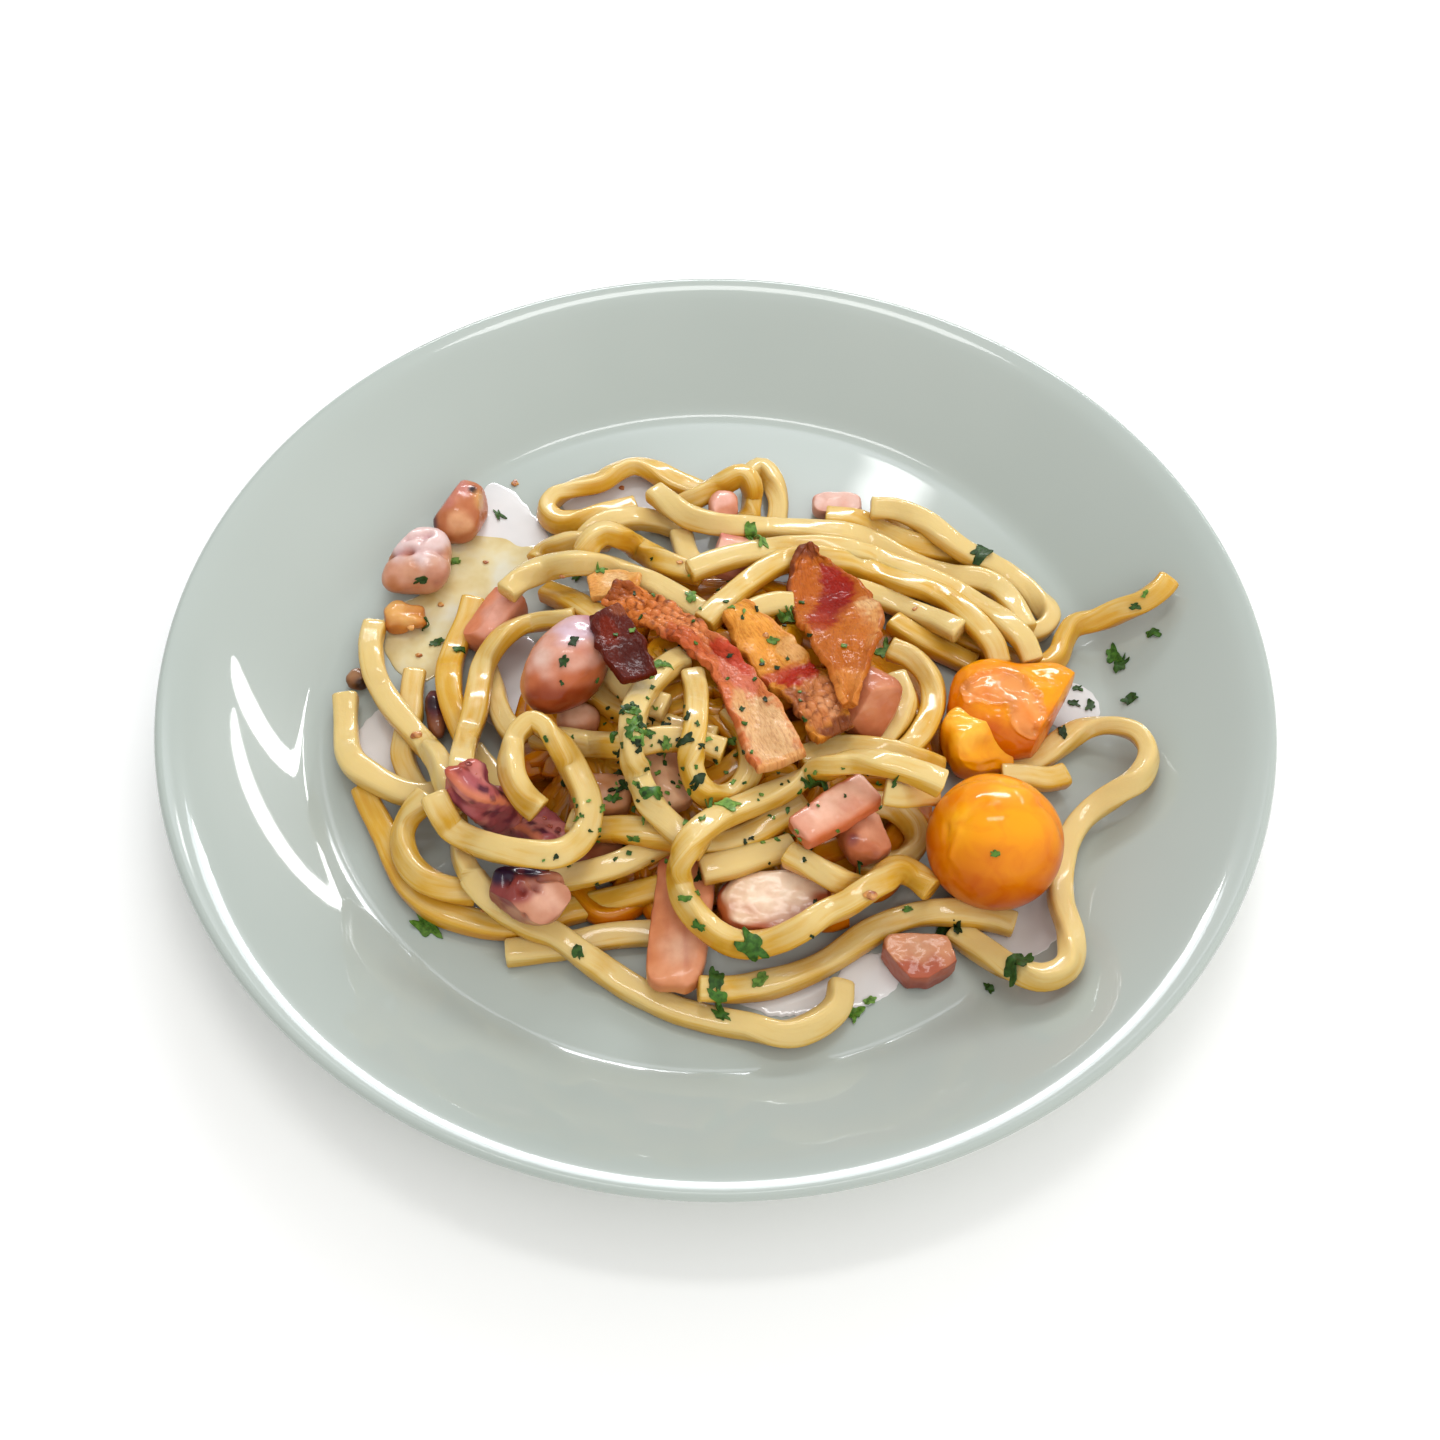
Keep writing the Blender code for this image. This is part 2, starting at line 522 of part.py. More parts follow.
                            (18.7, -61), (25, -56.5), (30, -54), (34, -51), (38.5, -47.5),
                            (42, -44.8), (46, -46), (50, -50)]),
    ("ribbon", "octopus_charred_arm", "charred octopus", [(-62, -19), (-58, -23.5), (-53, -28.5),
                                                          (-47, -32.5), (-41, -36),
                                                          (-36, -40)],
     (7, 9.5, 10, 9, 7), 7.0),
    ("lump", "octopus_charred_foot", "charred octopus", (-42.5, -53), (8.8, 6.4, 4.6), -14, 2.6,
     0.1),
    ("strand", "left_loop", [(-66, -27), (-64, -31), (-61, -35.5), (-56, -38.8), (-49, -41),
                             (-42, -42), (-36, -41.8), (-31.5, -38.5), (-29.5, -33), (-30, -27),
                             (-33, -20), (-37, -12.5), (-41, -7.5), (-44.5, -5.5), (-48, -9),
                             (-49, -15), (-48, -21), (-45, -26.5), (-41, -30.5)]),
    ("lump", "octopus_tip", "charred octopus", (-68, 61), (6.4, 8.4, 5.4), -20, 2.3, 0.08),
    ("lump", "octopus_knob", "boiled octopus", (-77, 43.5), (8.4, 9.4, 6.4), 0, 2.3, 0.1),
    ("lump", "tomato_bit", "yellow tomato", (-79, 25.5), (4.6, 3.8, 2.6), 20, 2.6, 0.1),
    ("ribbon", "bacon_dark", "fried bacon", [(-29, 29), (-25, 21), (-22, 14), (-19, 8)],
     (8, 11, 9), 3.0),
    ("ribbon", "bacon_clear", "bacon fat", [(-33, 36), (-27, 37.5), (-20, 38)], (7, 9, 7), 2.6),
    ("ribbon", "bacon_pale", "bacon fat", [(4, 31), (8, 25), (13, 17), (18, 10), (24, 3),
                                           (29, -8)], (7, 12, 12, 10, 10), 3.0),
    ("ribbon", "bacon_diamond", "fried bacon", [(23, 52), (23.5, 46), (25.5, 38), (31, 27),
                                                (32, 17), (32.5, 8), (32.5, 1)],
     (2.5, 12, 19, 21, 14, 8, 3), 2.8),
    ("ribbon", "bacon_strip", "fried bacon", [(-28, 35), (-22, 32), (-16, 28), (-8, 23),
                                              (-1, 16), (5, 8), (9.5, -2), (13, -10),
                                              (16, -16.5)], (9, 10.5, 9, 8.5, 10, 11, 11), 3.4),
]

SMALL_LUMP = 6.2         # half size up to which a lump has fewer faces
MOULD_SHARE = 0.35       # of a soft piece's height that may give way below
TOMATO_RADIUS = 15.4
TOMATO_PLACE = (65.0, -37.0)
BURST_BODY = ((71.5, 0.5), (15.0, 12.0, 7.5), -18)
BURST_FLAP = ((62.5, -9.0), (7.5, 8.5, 6.0), 10)

# Torn herb leaves: place seen on the plate's floor, length, turn in degrees.
HERBS = [(8, 55, 6, 70), (11, 53, 5, -50), (68, 50, 7, -30), (42, 18, 6, 60), (17.5, 27, 7, 85),
         (-7, 34, 5, 40), (9, -65, 8, -35), (3, -28, 6, 5), (24, -21, 6.5, -30),
         (52, -61, 6, 10), (55, -59.5, 4, 20), (-20, -3, 5, 80), (-19.5, -8, 6, 70),
         (-14, 12, 5, 30), (-30, -67, 4, 80), (1, -73.5, 6, 0), (1.5, -77.5, 5, -70),
         (2, -81.5, 5, 80), (10.5, -73, 5, 60), (-3, -60, 3.5, 0), (-4, -21, 4.5, 20),
         (-7.5, -10, 4, 60), (-21, -23, 5, -70), (-15, -25, 5, -70), (84, -6, 4, 25),
         (-64, -61, 8, 10), (68, -68, 8, -40), (31.5, -81, 4, 40), (34.5, -78, 3, 0),
         (61, -74.5, 3, 80), (99, 17, 6, 20), (100.5, 14.5, 5, -40), (110, 24.5, 4, 60),
         (101.5, 4, 4, -70), (91.5, 2, 3.5, 20)]
LEAF_THICKNESS = 0.9
LEAF_SHAPE = 0.62        # a leaf's width over its length


# ---------------------------------------------------------------- the pieces

def plate_profile():
    top = [(r, float(plate_top(r))) for r in (0, 60, 90, 94, 98, 104, 112, 120, 125, 128.4)]
    nose = [(PLATE_RADIUS, PLATE_HEIGHT - 1.3), (PLATE_RADIUS - 1.2, PLATE_HEIGHT - 3.4)]
    under = [(r, float(plate_top(r)) - PLATE_WALL) for r in (120, 109, 100, 92)]
    recess = WELL_FLOOR - PLATE_WALL
    foot = [(FOOT_OUTER + 2.0, recess), (FOOT_OUTER, 0), (FOOT_INNER, 0),
            (FOOT_INNER - 1.5, recess), (0, recess)]
    return top + nose + under + foot


def make_plate(home):
    bm = bmesh.new()
    verts = [bm.verts.new((r * MM, 0, z * MM)) for r, z in plate_profile()]
    for a, b in zip(verts, verts[1:]):
        bm.edges.new((a, b))
    mesh = bpy.data.meshes.new("plate")
    bm.to_mesh(mesh)
    bm.free()
    plate = new_object("plate", mesh, home)
    screw = plate.modifiers.new("turn", "SCREW")
    screw.axis = "Z"
    screw.steps = screw.render_steps = PLATE_STEPS
    screw.use_merge_vertices = True
    screw.merge_threshold = 1e-5
    applied(plate)
    return finished(plate, "glazed stoneware")


def make_core(home):
    """The packed middle of the heap, flat below."""
    bm = bmesh.new()
    bmesh.ops.create_uvsphere(bm, u_segments=24, v_segments=10, radius=1)
    for v in bm.verts:
        x = MOUND_CENTRE[0] + v.co.x * MOUND_REACH[0]
        y = MOUND_CENTRE[1] + v.co.y * MOUND_REACH[1]
        z = float(mound_top(x, y)) if v.co.z > 1e-4 else WELL_FLOOR + GAP
        v.co = Vector((x, y, z)) * MM
    return new_object("noodle_heap", mesh_from(bm, "noodle_heap"), home)


def make_leaf(name, place, spot, normal, home):
    """A torn leaf: a thin hexagon lying on the face it fell on."""
    length, turn = place[2], math.radians(place[3])
    bm = bmesh.new()
    bmesh.ops.create_cone(bm, cap_ends=True, segments=6, radius1=0.5, radius2=0.5, depth=1)
    lie = normal.to_track_quat("Z", "Y")
    for v in bm.verts:
        along, across = v.co.x * length, v.co.y * length * LEAF_SHAPE
        flat = Vector((along * math.cos(turn) - across * math.sin(turn),
                       along * math.sin(turn) + across * math.cos(turn),
                       v.co.z * LEAF_THICKNESS + 0.1))
        v.co = spot + lie @ flat * MM
    return new_object(name, mesh_from(bm, name), home)


def strewn(leaves, carriers, home):
    """Finds what each leaf lies on along its line of sight, and fuses it on."""
    eye = Vector(EYE) * MM
    trees = [(obj, BVHTree.FromObject(obj, bpy.context.evaluated_depsgraph_get()))
             for obj in carriers]
    lying = {obj.name: [] for obj in carriers}
    for i, place in enumerate(leaves):
        sight = (Vector((place[0], place[1], WELL_FLOOR)) * MM - eye).normalized()
        hits = [(hit[3], obj, hit[0], hit[1]) for obj, tree in trees
                if (hit := tree.ray_cast(eye, sight))[0]]
        _, obj, spot, normal = min(hits, key=lambda h: h[0])
        lying[obj.name].append(make_leaf(f"leaf_{i}", place, spot, normal, home))
    for obj in carriers:
        if lying[obj.name]:
            join(obj, lying[obj.name], "UNION")
            largest_shell(obj)


def at_place(mesh, place):
    for v in mesh.vertices:
        v.co += Vector(place) * MM


def moulded(mesh, pile):
    """Lifts a soft piece's underside off what it lies on."""
    floor = np.maximum(grown(pile.noodle, 1.5) + ROOM, grown(pile.other, 1.5) + GAP)
    heights = [v.co.z for v in mesh.vertices]
    limit = min(heights) + MOULD_SHARE * (max(heights) - min(heights))
    for v in mesh.vertices:
        here = np.array([[v.co.x, v.co.y]]) / MM
        v.co.z = max(v.co.z, min(limit, float(pile.at(floor, here)[0]) * MM))


def make_lump(pile, home, name, look, seen, size, yaw, blunt, bumps):
    columns, rows = (10, 7) if max(size) > SMALL_LUMP else (8, 5)
    mesh = lump_mesh(name, size, yaw, blunt, bumps, columns, rows)
    at_place(mesh, pile.drop(seen, surface_points(mesh)))
    moulded(mesh, pile)
    pile.stamp(surface_points(mesh))
    return finished(new_object(name, mesh, home), look)


def make_ribbon(pile, home, name, look, seen, widths, thickness):
    knots = np.linspace(0, 1, len(widths))
    centres, rolls, half_w, half_t = pile.lay(
        seen, lambda s: np.interp(s, knots, widths), thickness, fused=False, tilt=False,
        stiff=6.0)
    length = np.linalg.norm(np.diff(centres, axis=0), axis=1).sum()
    mesh = ribbon_mesh(name, centres, rolls, half_w, half_t, max(5, round(length / 5)))
    return finished(new_object(name, mesh, home), look)


def make_tomato(pile, home):
    bm = bmesh.new()
    bmesh.ops.create_uvsphere(bm, u_segments=18, v_segments=10, radius=TOMATO_RADIUS * MM)
    mesh = mesh_from(bm, "tomato_whole")
    z = WELL_FLOOR + GAP + TOMATO_RADIUS
    spot = seen_to_true([TOMATO_PLACE], z)[0]
    at_place(mesh, (spot[0], spot[1], z))
    pile.stamp(surface_points(mesh))
    return finished(new_object("tomato_whole", mesh, home), "yellow tomato")


def make_burst_tomato(pile, home):
    seen, size, yaw = BURST_BODY
    body = make_lump(pile, home, "tomato_burst", "yellow tomato", seen, size, yaw, 2.5, 0.05)
    flap_seen, flap_size, flap_yaw = BURST_FLAP
    flap = lump_mesh("flap", flap_size, flap_yaw, 2.6, 0.06, 10, 6)
    z = np.mean([v.co.z for v in body.data.vertices]) / MM
    spot = seen_to_true([flap_seen], z)[0]
    at_place(flap, (spot[0], spot[1], z))
    pile.stamp(surface_points(flap))
    flap_object = new_object("tomato_flap", flap, home)
    join(body, [flap_object], "UNION")
    return finished(body, "yellow tomato")


# ---------------------------------------------------------------- joining and cutting

def join(body, others, operation):
    """One Boolean with a collection, applied; the collection's objects then go."""
    group = collection("tools_for_" + body.name)
    for obj in others:
        for home in list(obj.users_collection):
            home.objects.unlink(obj)
        group.objects.link(obj)
    boolean = body.modifiers.new("join", "BOOLEAN")
    boolean.operation = operation
    boolean.operand_type = "COLLECTION"
    boolean.collection = group
    boolean.solver = "MANIFOLD"      # tried: EXACT leaves open edges where many strands meet
    applied(body)
    for obj in list(group.objects):
        bpy.data.objects.remove(obj)
    bpy.data.collections.remove(group)


def shells_of(bm):
    """Faces grouped by the edges where exactly two of them meet, smallest group first."""
    unseen, shells = set(bm.faces), []
    while unseen:
        stack, shell = [unseen.pop()], []
        while stack:
            face = stack.pop()
            shell.append(face)
            for edge in face.edges:
                if len(edge.link_faces) != 2:
                    continue
                for near in edge.link_faces:
                    if near in unseen:
                        unseen.remove(near)
                        stack.append(near)
        shells.append(shell)
    return sorted(shells, key=len)


def largest_shell(obj):
    """Keeps the biggest closed shell: sealed hollows are filled and scraps dropped.

    Slivers are closed up first, as widely as leaves the surface whole."""
    for weld in WELDS:
        bm = bmesh.new()
        bm.from_mesh(obj.data)
        bmesh.ops.triangulate(bm, faces=bm.faces)
        bmesh.ops.remove_doubles(bm, verts=bm.verts, dist=weld * MM)
        bmesh.ops.dissolve_degenerate(bm, edges=bm.edges, dist=weld * MM)
        shells = shells_of(bm)
        extra = [face for shell in shells[:-1] for face in shell]
        bmesh.ops.delete(bm, geom=extra, context="FACES")
        whole = all(len(edge.link_faces) == 2 for edge in bm.edges)
        if whole or weld == WELDS[-1]:
            bm.to_mesh(obj.data)
            bm.free()
            return
        bm.free()


def swollen(obj, home, amount):
    """A cutter a little larger than a piece, so that what it cuts stays clear."""
    copy = new_object(obj.name + "_room", obj.data.copy(), home)
    copy.hide_render = True
    copy.display_type = "WIRE"
    bm = bmesh.new()
    bm.from_mesh(copy.data)
    bm.normal_update()
    for v in bm.verts:
        v.co += v.normal * v.calc_shell_factor() * amount * MM
    bm.to_mesh(copy.data)
    bm.free()
    return copy


def main():
    for obj in list(bpy.data.objects):
        bpy.data.objects.remove(obj)
    home = collection("scialatielli_with_octopus")
    workshop = collection("workshop")
    pile = Pile()
    plate = make_plate(home)
    section = strand_section(workshop)
    heap = make_core(home)
    strands, toppings = [], []
    for kind, name, *rest in STACK:
        if kind == "strand":
            centres, rolls, _, _ = pile.lay(rest[0], STRAND_WIDTH, STRAND_THICKNESS, fused=True)
            strands.append(strand_object(name, centres, rolls, section, workshop))
        elif kind == "lump":
            toppings.append(make_lump(pile, home, name, *rest))
        else:
            toppings.append(make_ribbon(pile, home, name, *rest))
    toppings.append(make_burst_tomato(pile, home))
    toppings.append(make_tomato(pile, home))
    bpy.data.objects.remove(section)
    join(heap, strands, "UNION")
    largest_shell(heap)
    strewn(HERBS, [plate, heap] + toppings, workshop)
    cutters = [swollen(obj, workshop, ROOM) for obj in toppings]
    join(heap, cutters, "DIFFERENCE")
    largest_shell(heap)
    finished(heap, "boiled egg pasta")
    finished(plate, "glazed stoneware")
    for obj in home.objects:
        obj.data.shade_smooth()
        obj.data.set_sharp_from_angle(angle=math.radians(40))


main()
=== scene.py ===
import math

import bpy
import numpy as np
from mathutils import Matrix, Quaternion, Vector
from mathutils.bvhtree import BVHTree
from mathutils.kdtree import KDTree


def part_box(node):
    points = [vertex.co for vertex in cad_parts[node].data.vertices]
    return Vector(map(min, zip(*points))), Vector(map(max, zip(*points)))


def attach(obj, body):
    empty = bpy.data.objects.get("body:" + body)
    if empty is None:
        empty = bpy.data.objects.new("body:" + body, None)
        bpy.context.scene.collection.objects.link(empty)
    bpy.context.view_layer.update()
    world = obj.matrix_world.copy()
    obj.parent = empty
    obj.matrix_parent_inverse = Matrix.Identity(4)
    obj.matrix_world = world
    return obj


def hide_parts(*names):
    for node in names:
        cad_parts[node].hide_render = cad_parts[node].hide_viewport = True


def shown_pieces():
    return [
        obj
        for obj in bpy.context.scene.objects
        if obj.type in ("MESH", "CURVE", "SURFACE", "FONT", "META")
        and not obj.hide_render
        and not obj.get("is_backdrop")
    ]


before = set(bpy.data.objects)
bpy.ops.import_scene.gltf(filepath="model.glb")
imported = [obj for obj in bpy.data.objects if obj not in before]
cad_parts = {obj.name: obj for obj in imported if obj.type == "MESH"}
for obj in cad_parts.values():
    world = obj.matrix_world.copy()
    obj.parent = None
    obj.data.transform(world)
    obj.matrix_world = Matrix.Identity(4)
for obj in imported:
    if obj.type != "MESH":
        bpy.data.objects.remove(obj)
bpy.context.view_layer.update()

mm = 0.001    # lengths below are in millimetres unless a note says otherwise
print("frame loaded")


# ---- small helpers

def clearSelection():
    bpy.ops.object.select_all(action="DESELECT")


def pick(*objects):
    clearSelection()
    for obj in objects:
        obj.select_set(True)
    bpy.context.view_layer.objects.active = objects[0]
    return objects[0]


def named(name):    # the object that an operator has just added
    obj = bpy.context.active_object
    obj.name = obj.data.name = name
    return obj


def editAll(obj):
    pick(obj)
    bpy.ops.object.mode_set(mode="EDIT")
    bpy.ops.mesh.select_all(action="SELECT")


def leaveEdit():
    bpy.ops.object.mode_set(mode="OBJECT")


def started(name, operator, **settings):    # a primitive reaching 1 each way, and its points
    clearSelection()
    operator(**settings)
    obj = named(name)
    return obj, readPoints(obj) * mm


def weld(obj, distance):    # in metres, and every face is turned outward
    editAll(obj)
    bpy.ops.mesh.remove_doubles(threshold=distance)
    bpy.ops.mesh.normals_make_consistent(inside=False)
    leaveEdit()


def addedObject(name, data):    # a new curve or mesh, in the scene
    obj = bpy.data.objects.new(name, data)
    bpy.context.scene.collection.objects.link(obj)
    return obj


def wall(obj, thickness, offset=0):    # in millimetres, and to which side it grows
    solid = obj.modifiers.new("thickness", "SOLIDIFY")
    solid.thickness, solid.offset = thickness * mm, offset


def finishModifiers(obj):
    pick(obj)
    for modifier in list(obj.modifiers):
        bpy.ops.object.modifier_apply(modifier=modifier.name)


def joined(name, objects):
    pick(*objects)
    if len(objects) > 1:
        bpy.ops.object.join()
    return named(name)


def readPoints(obj):
    points = np.empty(len(obj.data.vertices) * 3)
    obj.data.vertices.foreach_get("co", points)
    return points.reshape(-1, 3) / mm


def writePoints(obj, points):
    obj.data.vertices.foreach_set("co", (points * mm).ravel())
    obj.data.update()


def smoothShaded(obj, angle=180):
    pick(obj)
    bpy.ops.object.shade_smooth_by_angle(angle=math.radians(angle))
    return obj


def unit(rows):    # each row made 1 long
    return rows / np.linalg.norm(rows, axis=1)[:, None]


def travelled(line):    # how far along it each of a line's points lies
    return np.r_[0, np.cumsum(np.linalg.norm(np.diff(line, axis=0), axis=1))]


def between(places, marks, rows):    # rows of numbers, read off between the marks
    return np.stack([np.interp(places, marks, rows[:, k]) for k in range(rows.shape[1])], 1)


def waves(points, size, seed, count=9):    # a smooth random field, about -1 to 1
    picker = np.random.default_rng(seed)
    total = np.zeros(len(points))
    for _ in range(count):
        way = picker.normal(size=points.shape[1])
        way *= picker.uniform(0.7, 1.4) * math.pi / size / np.linalg.norm(way)
        total += np.sin(points @ way + picker.uniform(0, 2 * math.pi))
    return total / math.sqrt(count)


def ease(low, high, value):    # 0 below low, 1 above high
    share = np.clip((value - low) / (high - low), 0, 1)
    return share * share * (3 - 2 * share)


def wrinkled(where, lines):    # folds in a skin, along lines through two places: width, height
    depth = np.zeros(len(where))
    for a, b, width, height in lines:
        a, b = np.array(a, float), np.array(b, float)
        t = np.clip(((where - a) @ (b - a)) / ((b - a) @ (b - a)), 0, 1)
        away = np.linalg.norm(where - a - t[:, None] * (b - a), axis=1)
        depth += height * np.exp(-(away / width) ** 2)
    return depth


def roughen(obj, size, height):    # uneven skin, in millimetres
    texture = bpy.data.textures.new("unevenness", "CLOUDS")
    texture.noise_scale = size * mm
    modifier = obj.modifiers.new("roughen", "DISPLACE")
    modifier.texture = texture
    modifier.strength = height * mm


# ---- colours and finishes

def linear(hexColour):
    channels = [int(hexColour[i:i + 2], 16) / 255 for i in (1, 3, 5)]
    return [c / 12.92 if c <= 0.04045 else ((c + 0.055) / 1.055) ** 2.4 for c in channels]


def newFinish(name, colour, roughness, glow=(), coat=(), **sockets):
    # glow: how much light goes in, how far in metres, and each colour's share of that; coat: how
    # wet the surface is, and how rough that coat; then any other socket by its name
    sockets |= zip(("Subsurface_Weight", "Subsurface_Scale", "Subsurface_Radius"), glow)
    sockets |= zip(("Coat_Weight", "Coat_Roughness"), coat)
    material = bpy.data.materials.new(name)
    material.use_nodes = True
    shader = material.node_tree.nodes["Principled BSDF"]
    shader.inputs["Base Color"].default_value = (*linear(colour), 1)
    shader.inputs["Roughness"].default_value = roughness
    for socket, value in sockets.items():
        shader.inputs[socket.replace("_", " ")].default_value = value
    spot = addNode(material.node_tree, "ShaderNodeTexCoord", out="Object")
    return material, material.node_tree, shader.inputs, spot


def addNode(tree, kind, sockets=(), stops=(), into=None, out=0, **settings):
    # gives back the output that is used, which may go into a socket at once
    made = tree.nodes.new(kind)
    for key, value in settings.items():
        setattr(made, key, value)
    for key, value in dict(sockets).items():
        if isinstance(value, bpy.types.NodeSocket):
            tree.links.new(value, made.inputs[key])
        else:
            made.inputs[key].default_value = value
    if stops:
        ramp = made.color_ramp
        while len(ramp.elements) < len(stops):
            ramp.elements.new(0.5)
        for element, (place, colour) in zip(ramp.elements, stops):
            element.position = place
            element.color = (*linear(colour), 1)
    if into:
        tree.links.new(made.outputs[out], into)
    return made.outputs[out]


def clouded(tree, shader, spot, scale, detail, stops):    # colours that drift into one another
    cloud = addNode(tree, "ShaderNodeTexNoise", {"Vector": spot, "Scale": scale, "Detail": detail})
    addNode(tree, "ShaderNodeValToRGB", {"Fac": cloud}, stops, shader["Base Color"])
    return cloud


def mottled(tree, shader, pattern, share, stops):    # the painted colours, mottled by a pattern
    tint = addNode(tree, "ShaderNodeAttribute", attribute_name="tint")
    shade = addNode(tree, "ShaderNodeValToRGB", {"Fac": pattern}, stops)
    addNode(tree, "ShaderNodeMix", {0: share, 6: tint, 7: shade}, (), shader["Base Color"], 2,
            data_type="RGBA", blend_type="MULTIPLY")


def mark(obj, name, values):    # a number, a vector or a colour for each vertex
    values = np.reshape(values, (len(obj.data.vertices), -1))
    kind, field = {1: ("FLOAT", "value"), 3: ("FLOAT_VECTOR", "vector"),
                   4: ("FLOAT_COLOR", "color")}[values.shape[1]]
    layer = obj.data.attributes.get(name) or obj.data.attributes.new(name, kind, "POINT")
    layer.data.foreach_set(field, values.ravel())


def paint(obj, colours):    # one linear colour for each vertex
    mark(obj, "tint", np.column_stack([colours, np.ones(len(colours))]))


def over(tint, colour, mask):    # a colour laid over what is there, as far as its mask goes
    return tint * (1 - mask[:, None]) + np.array(linear(colour)) * mask[:, None]


def wear(obj, *materials):
    obj.data.materials.clear()
    for material in materials:
        obj.data.materials.append(material)
    return obj


def hand(obj, slot, *nodes):    # rides on the plate's body, and stands for its CAD nodes
    if nodes:
        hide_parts(*nodes)
    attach(obj, "root")
    return obj


def finished(obj, finish, slot, *nodes, uneven=None, angle=180):
    # made uneven, its modifiers applied, smoothed, dressed and handed over
    if uneven:
        roughen(obj, *uneven)
    finishModifiers(obj)
    return hand(wear(smoothShaded(obj, angle), finish), slot, *nodes)


# ---- camera, light and floor

shot = {"eye": (0.0, -0.24807, 0.36591), "right": (0.99988, 0.01147, 0.01036),
        "up": (-0.01531, 0.82709, 0.56186), "back": (-0.00213, -0.56195, 0.82717),
        "lens": 44.78, "sensor": 36, "nearest": 0.01}    # lens and sensor in mm, the rest in m
lamps = [    # name, degrees round from the back to the right, degrees up, degrees turned on
             # itself, size in metres, watts, colour: all as far away as the room says
    ("soft fill", 150, 50, 0, (0.68, 0.5), 2.4, "#FFFAF2"),
    ("window", 3, 49.5, 0, (0.46, 0.3), 1.5, "#F2F6FF"),
    ("sunlit pane", 9.8, 47, 0, (0.09, 0.06), 0.3, "#FFFFFF"),
    ("low window", 3, 36, 0, (0.7, 0.22), 5.4, "#F2F6FF"),
    ("window sill", 2, 35, 0, (0.8, 0.12), 7.0, "#FFFFFF"),
    ("ceiling panel", -2, 78, 0, (0.5, 0.14), 2.4, "#FFFFFF"),
    ("near frame edge", 38.6, 31.0, -54, (0.37, 0.022), 0.7, "#FFFFFF"),
    ("far frame edge", 29.3, 24.4, -47, (0.58, 0.015), 0.7, "#FFFFFF"),
]
room = {"sky": "#F9F9FA", "slant": (0.75, -0.6, 0.8), "dim": 0.5, "bright": 1.12,
        "floor": "#FAFAF8", "floorSize": 12.0, "lampsAway": 1.3, "clearWithin": 0.12,
        "fadedBeyond": 0.5}

bpy.ops.object.camera_add()
camera = named("camera")
camera.matrix_world = Matrix([(*row, place) for row, place in
                              zip(zip(shot["right"], shot["up"], shot["back"]), shot["eye"])]
                             + [(0, 0, 0, 1)])
camera.data.lens = shot["lens"]
camera.data.sensor_width = shot["sensor"]
camera.data.clip_start = shot["nearest"]
bpy.context.scene.camera = camera
bpy.context.scene.view_settings.view_transform = "Standard"

for name, turn, rise, rolled, size, watts, colour in lamps:
    around, above = math.radians(turn), math.radians(rise)
    way = Vector((math.sin(around) * math.cos(above), math.cos(around) * math.cos(above),
                  math.sin(above)))
    facing = way.to_track_quat("Z", "Y") @ Quaternion((0, 0, 1), math.radians(rolled))
    bpy.ops.object.light_add(type="AREA", location=way * room["lampsAway"],
                             rotation=facing.to_euler())
    lamp = named(name)
    lamp.data.shape = "ELLIPSE" if name.endswith("edge") else "RECTANGLE"
    lamp.data.size, lamp.data.size_y = size
    lamp.data.energy = watts
    lamp.data.color = linear(colour)
    lamp.visible_glossy = name != "soft fill"    # it lights the dish, but leaves no glare
    lamp.visible_diffuse = name != "window sill"    # it only draws the thin lines on wet curves
    if name in ("window", "sunlit pane"):    # their glare fades towards its edge
        lamp.data.use_nodes = True
        glow = lamp.data.node_tree
        across = addNode(glow, "ShaderNodeNewGeometry", out="Parametric")
        away = addNode(glow, "ShaderNodeVectorMath", {0: across, 1: (0.5, 0.5, 0)}, out="Value",
                       operation="DISTANCE")
        addNode(glow, "ShaderNodeMapRange", {
            "Value": away, "From Min": room["clearWithin"], "From Max": room["fadedBeyond"],
            "To Min": 1.0, "To Max": 0.0}, into=glow.nodes["Emission"].inputs["Strength"],
            interpolation_type="SMOOTHSTEP")

world = bpy.data.worlds.new("room")
bpy.context.scene.world = world
world.use_nodes = True
sky = world.node_tree.nodes["Background"]
sky.inputs["Color"].default_value = (*linear(room["sky"]), 1)
way = addNode(world.node_tree, "ShaderNodeTexCoord", out="Generated")
slant = addNode(world.node_tree, "ShaderNodeVectorMath", {0: way, 1: room["slant"]}, out="Value",
                operation="DOT_PRODUCT")
addNode(world.node_tree, "ShaderNodeMapRange", {
    "Value": slant, "From Min": -0.3, "From Max": 1.0, "To Min": room["dim"],
    "To Max": room["bright"]}, into=sky.inputs["Strength"])

bpy.ops.mesh.primitive_plane_add(size=room["floorSize"])
floor = named("floor")
paperFinish, tree, shader, _ = newFinish("matt backdrop paper", room["floor"], 0.9)
tooth = addNode(tree, "ShaderNodeTexNoise", {"Scale": 400})
addNode(tree, "ShaderNodeBump", {"Height": tooth, "Strength": 0.05, "Distance": 0.1 * mm},
        into=shader["Normal"])
wear(floor, paperFinish)
floor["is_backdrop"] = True
print("camera, light and floor set")


# ---- plate: stoneware thrown as a coupe, glazed pale sage, foot ring left bare

plate = {"radius": 130.0, "height": 27.0, "floor": 6.5, "wellRadius": 95.0, "wellBend": 2.5,
         "lipRadius": 125.0, "lipBend": 1.5, "lipFlattening": 0.6, "wall": 4.5,
         "footInner": 66.0, "footOuter": 75.0, "turns": 288,
         "crispRadius": 96.2, "crispBend": 1.15, "dish": 0.4, "bareBelow": 0.4}


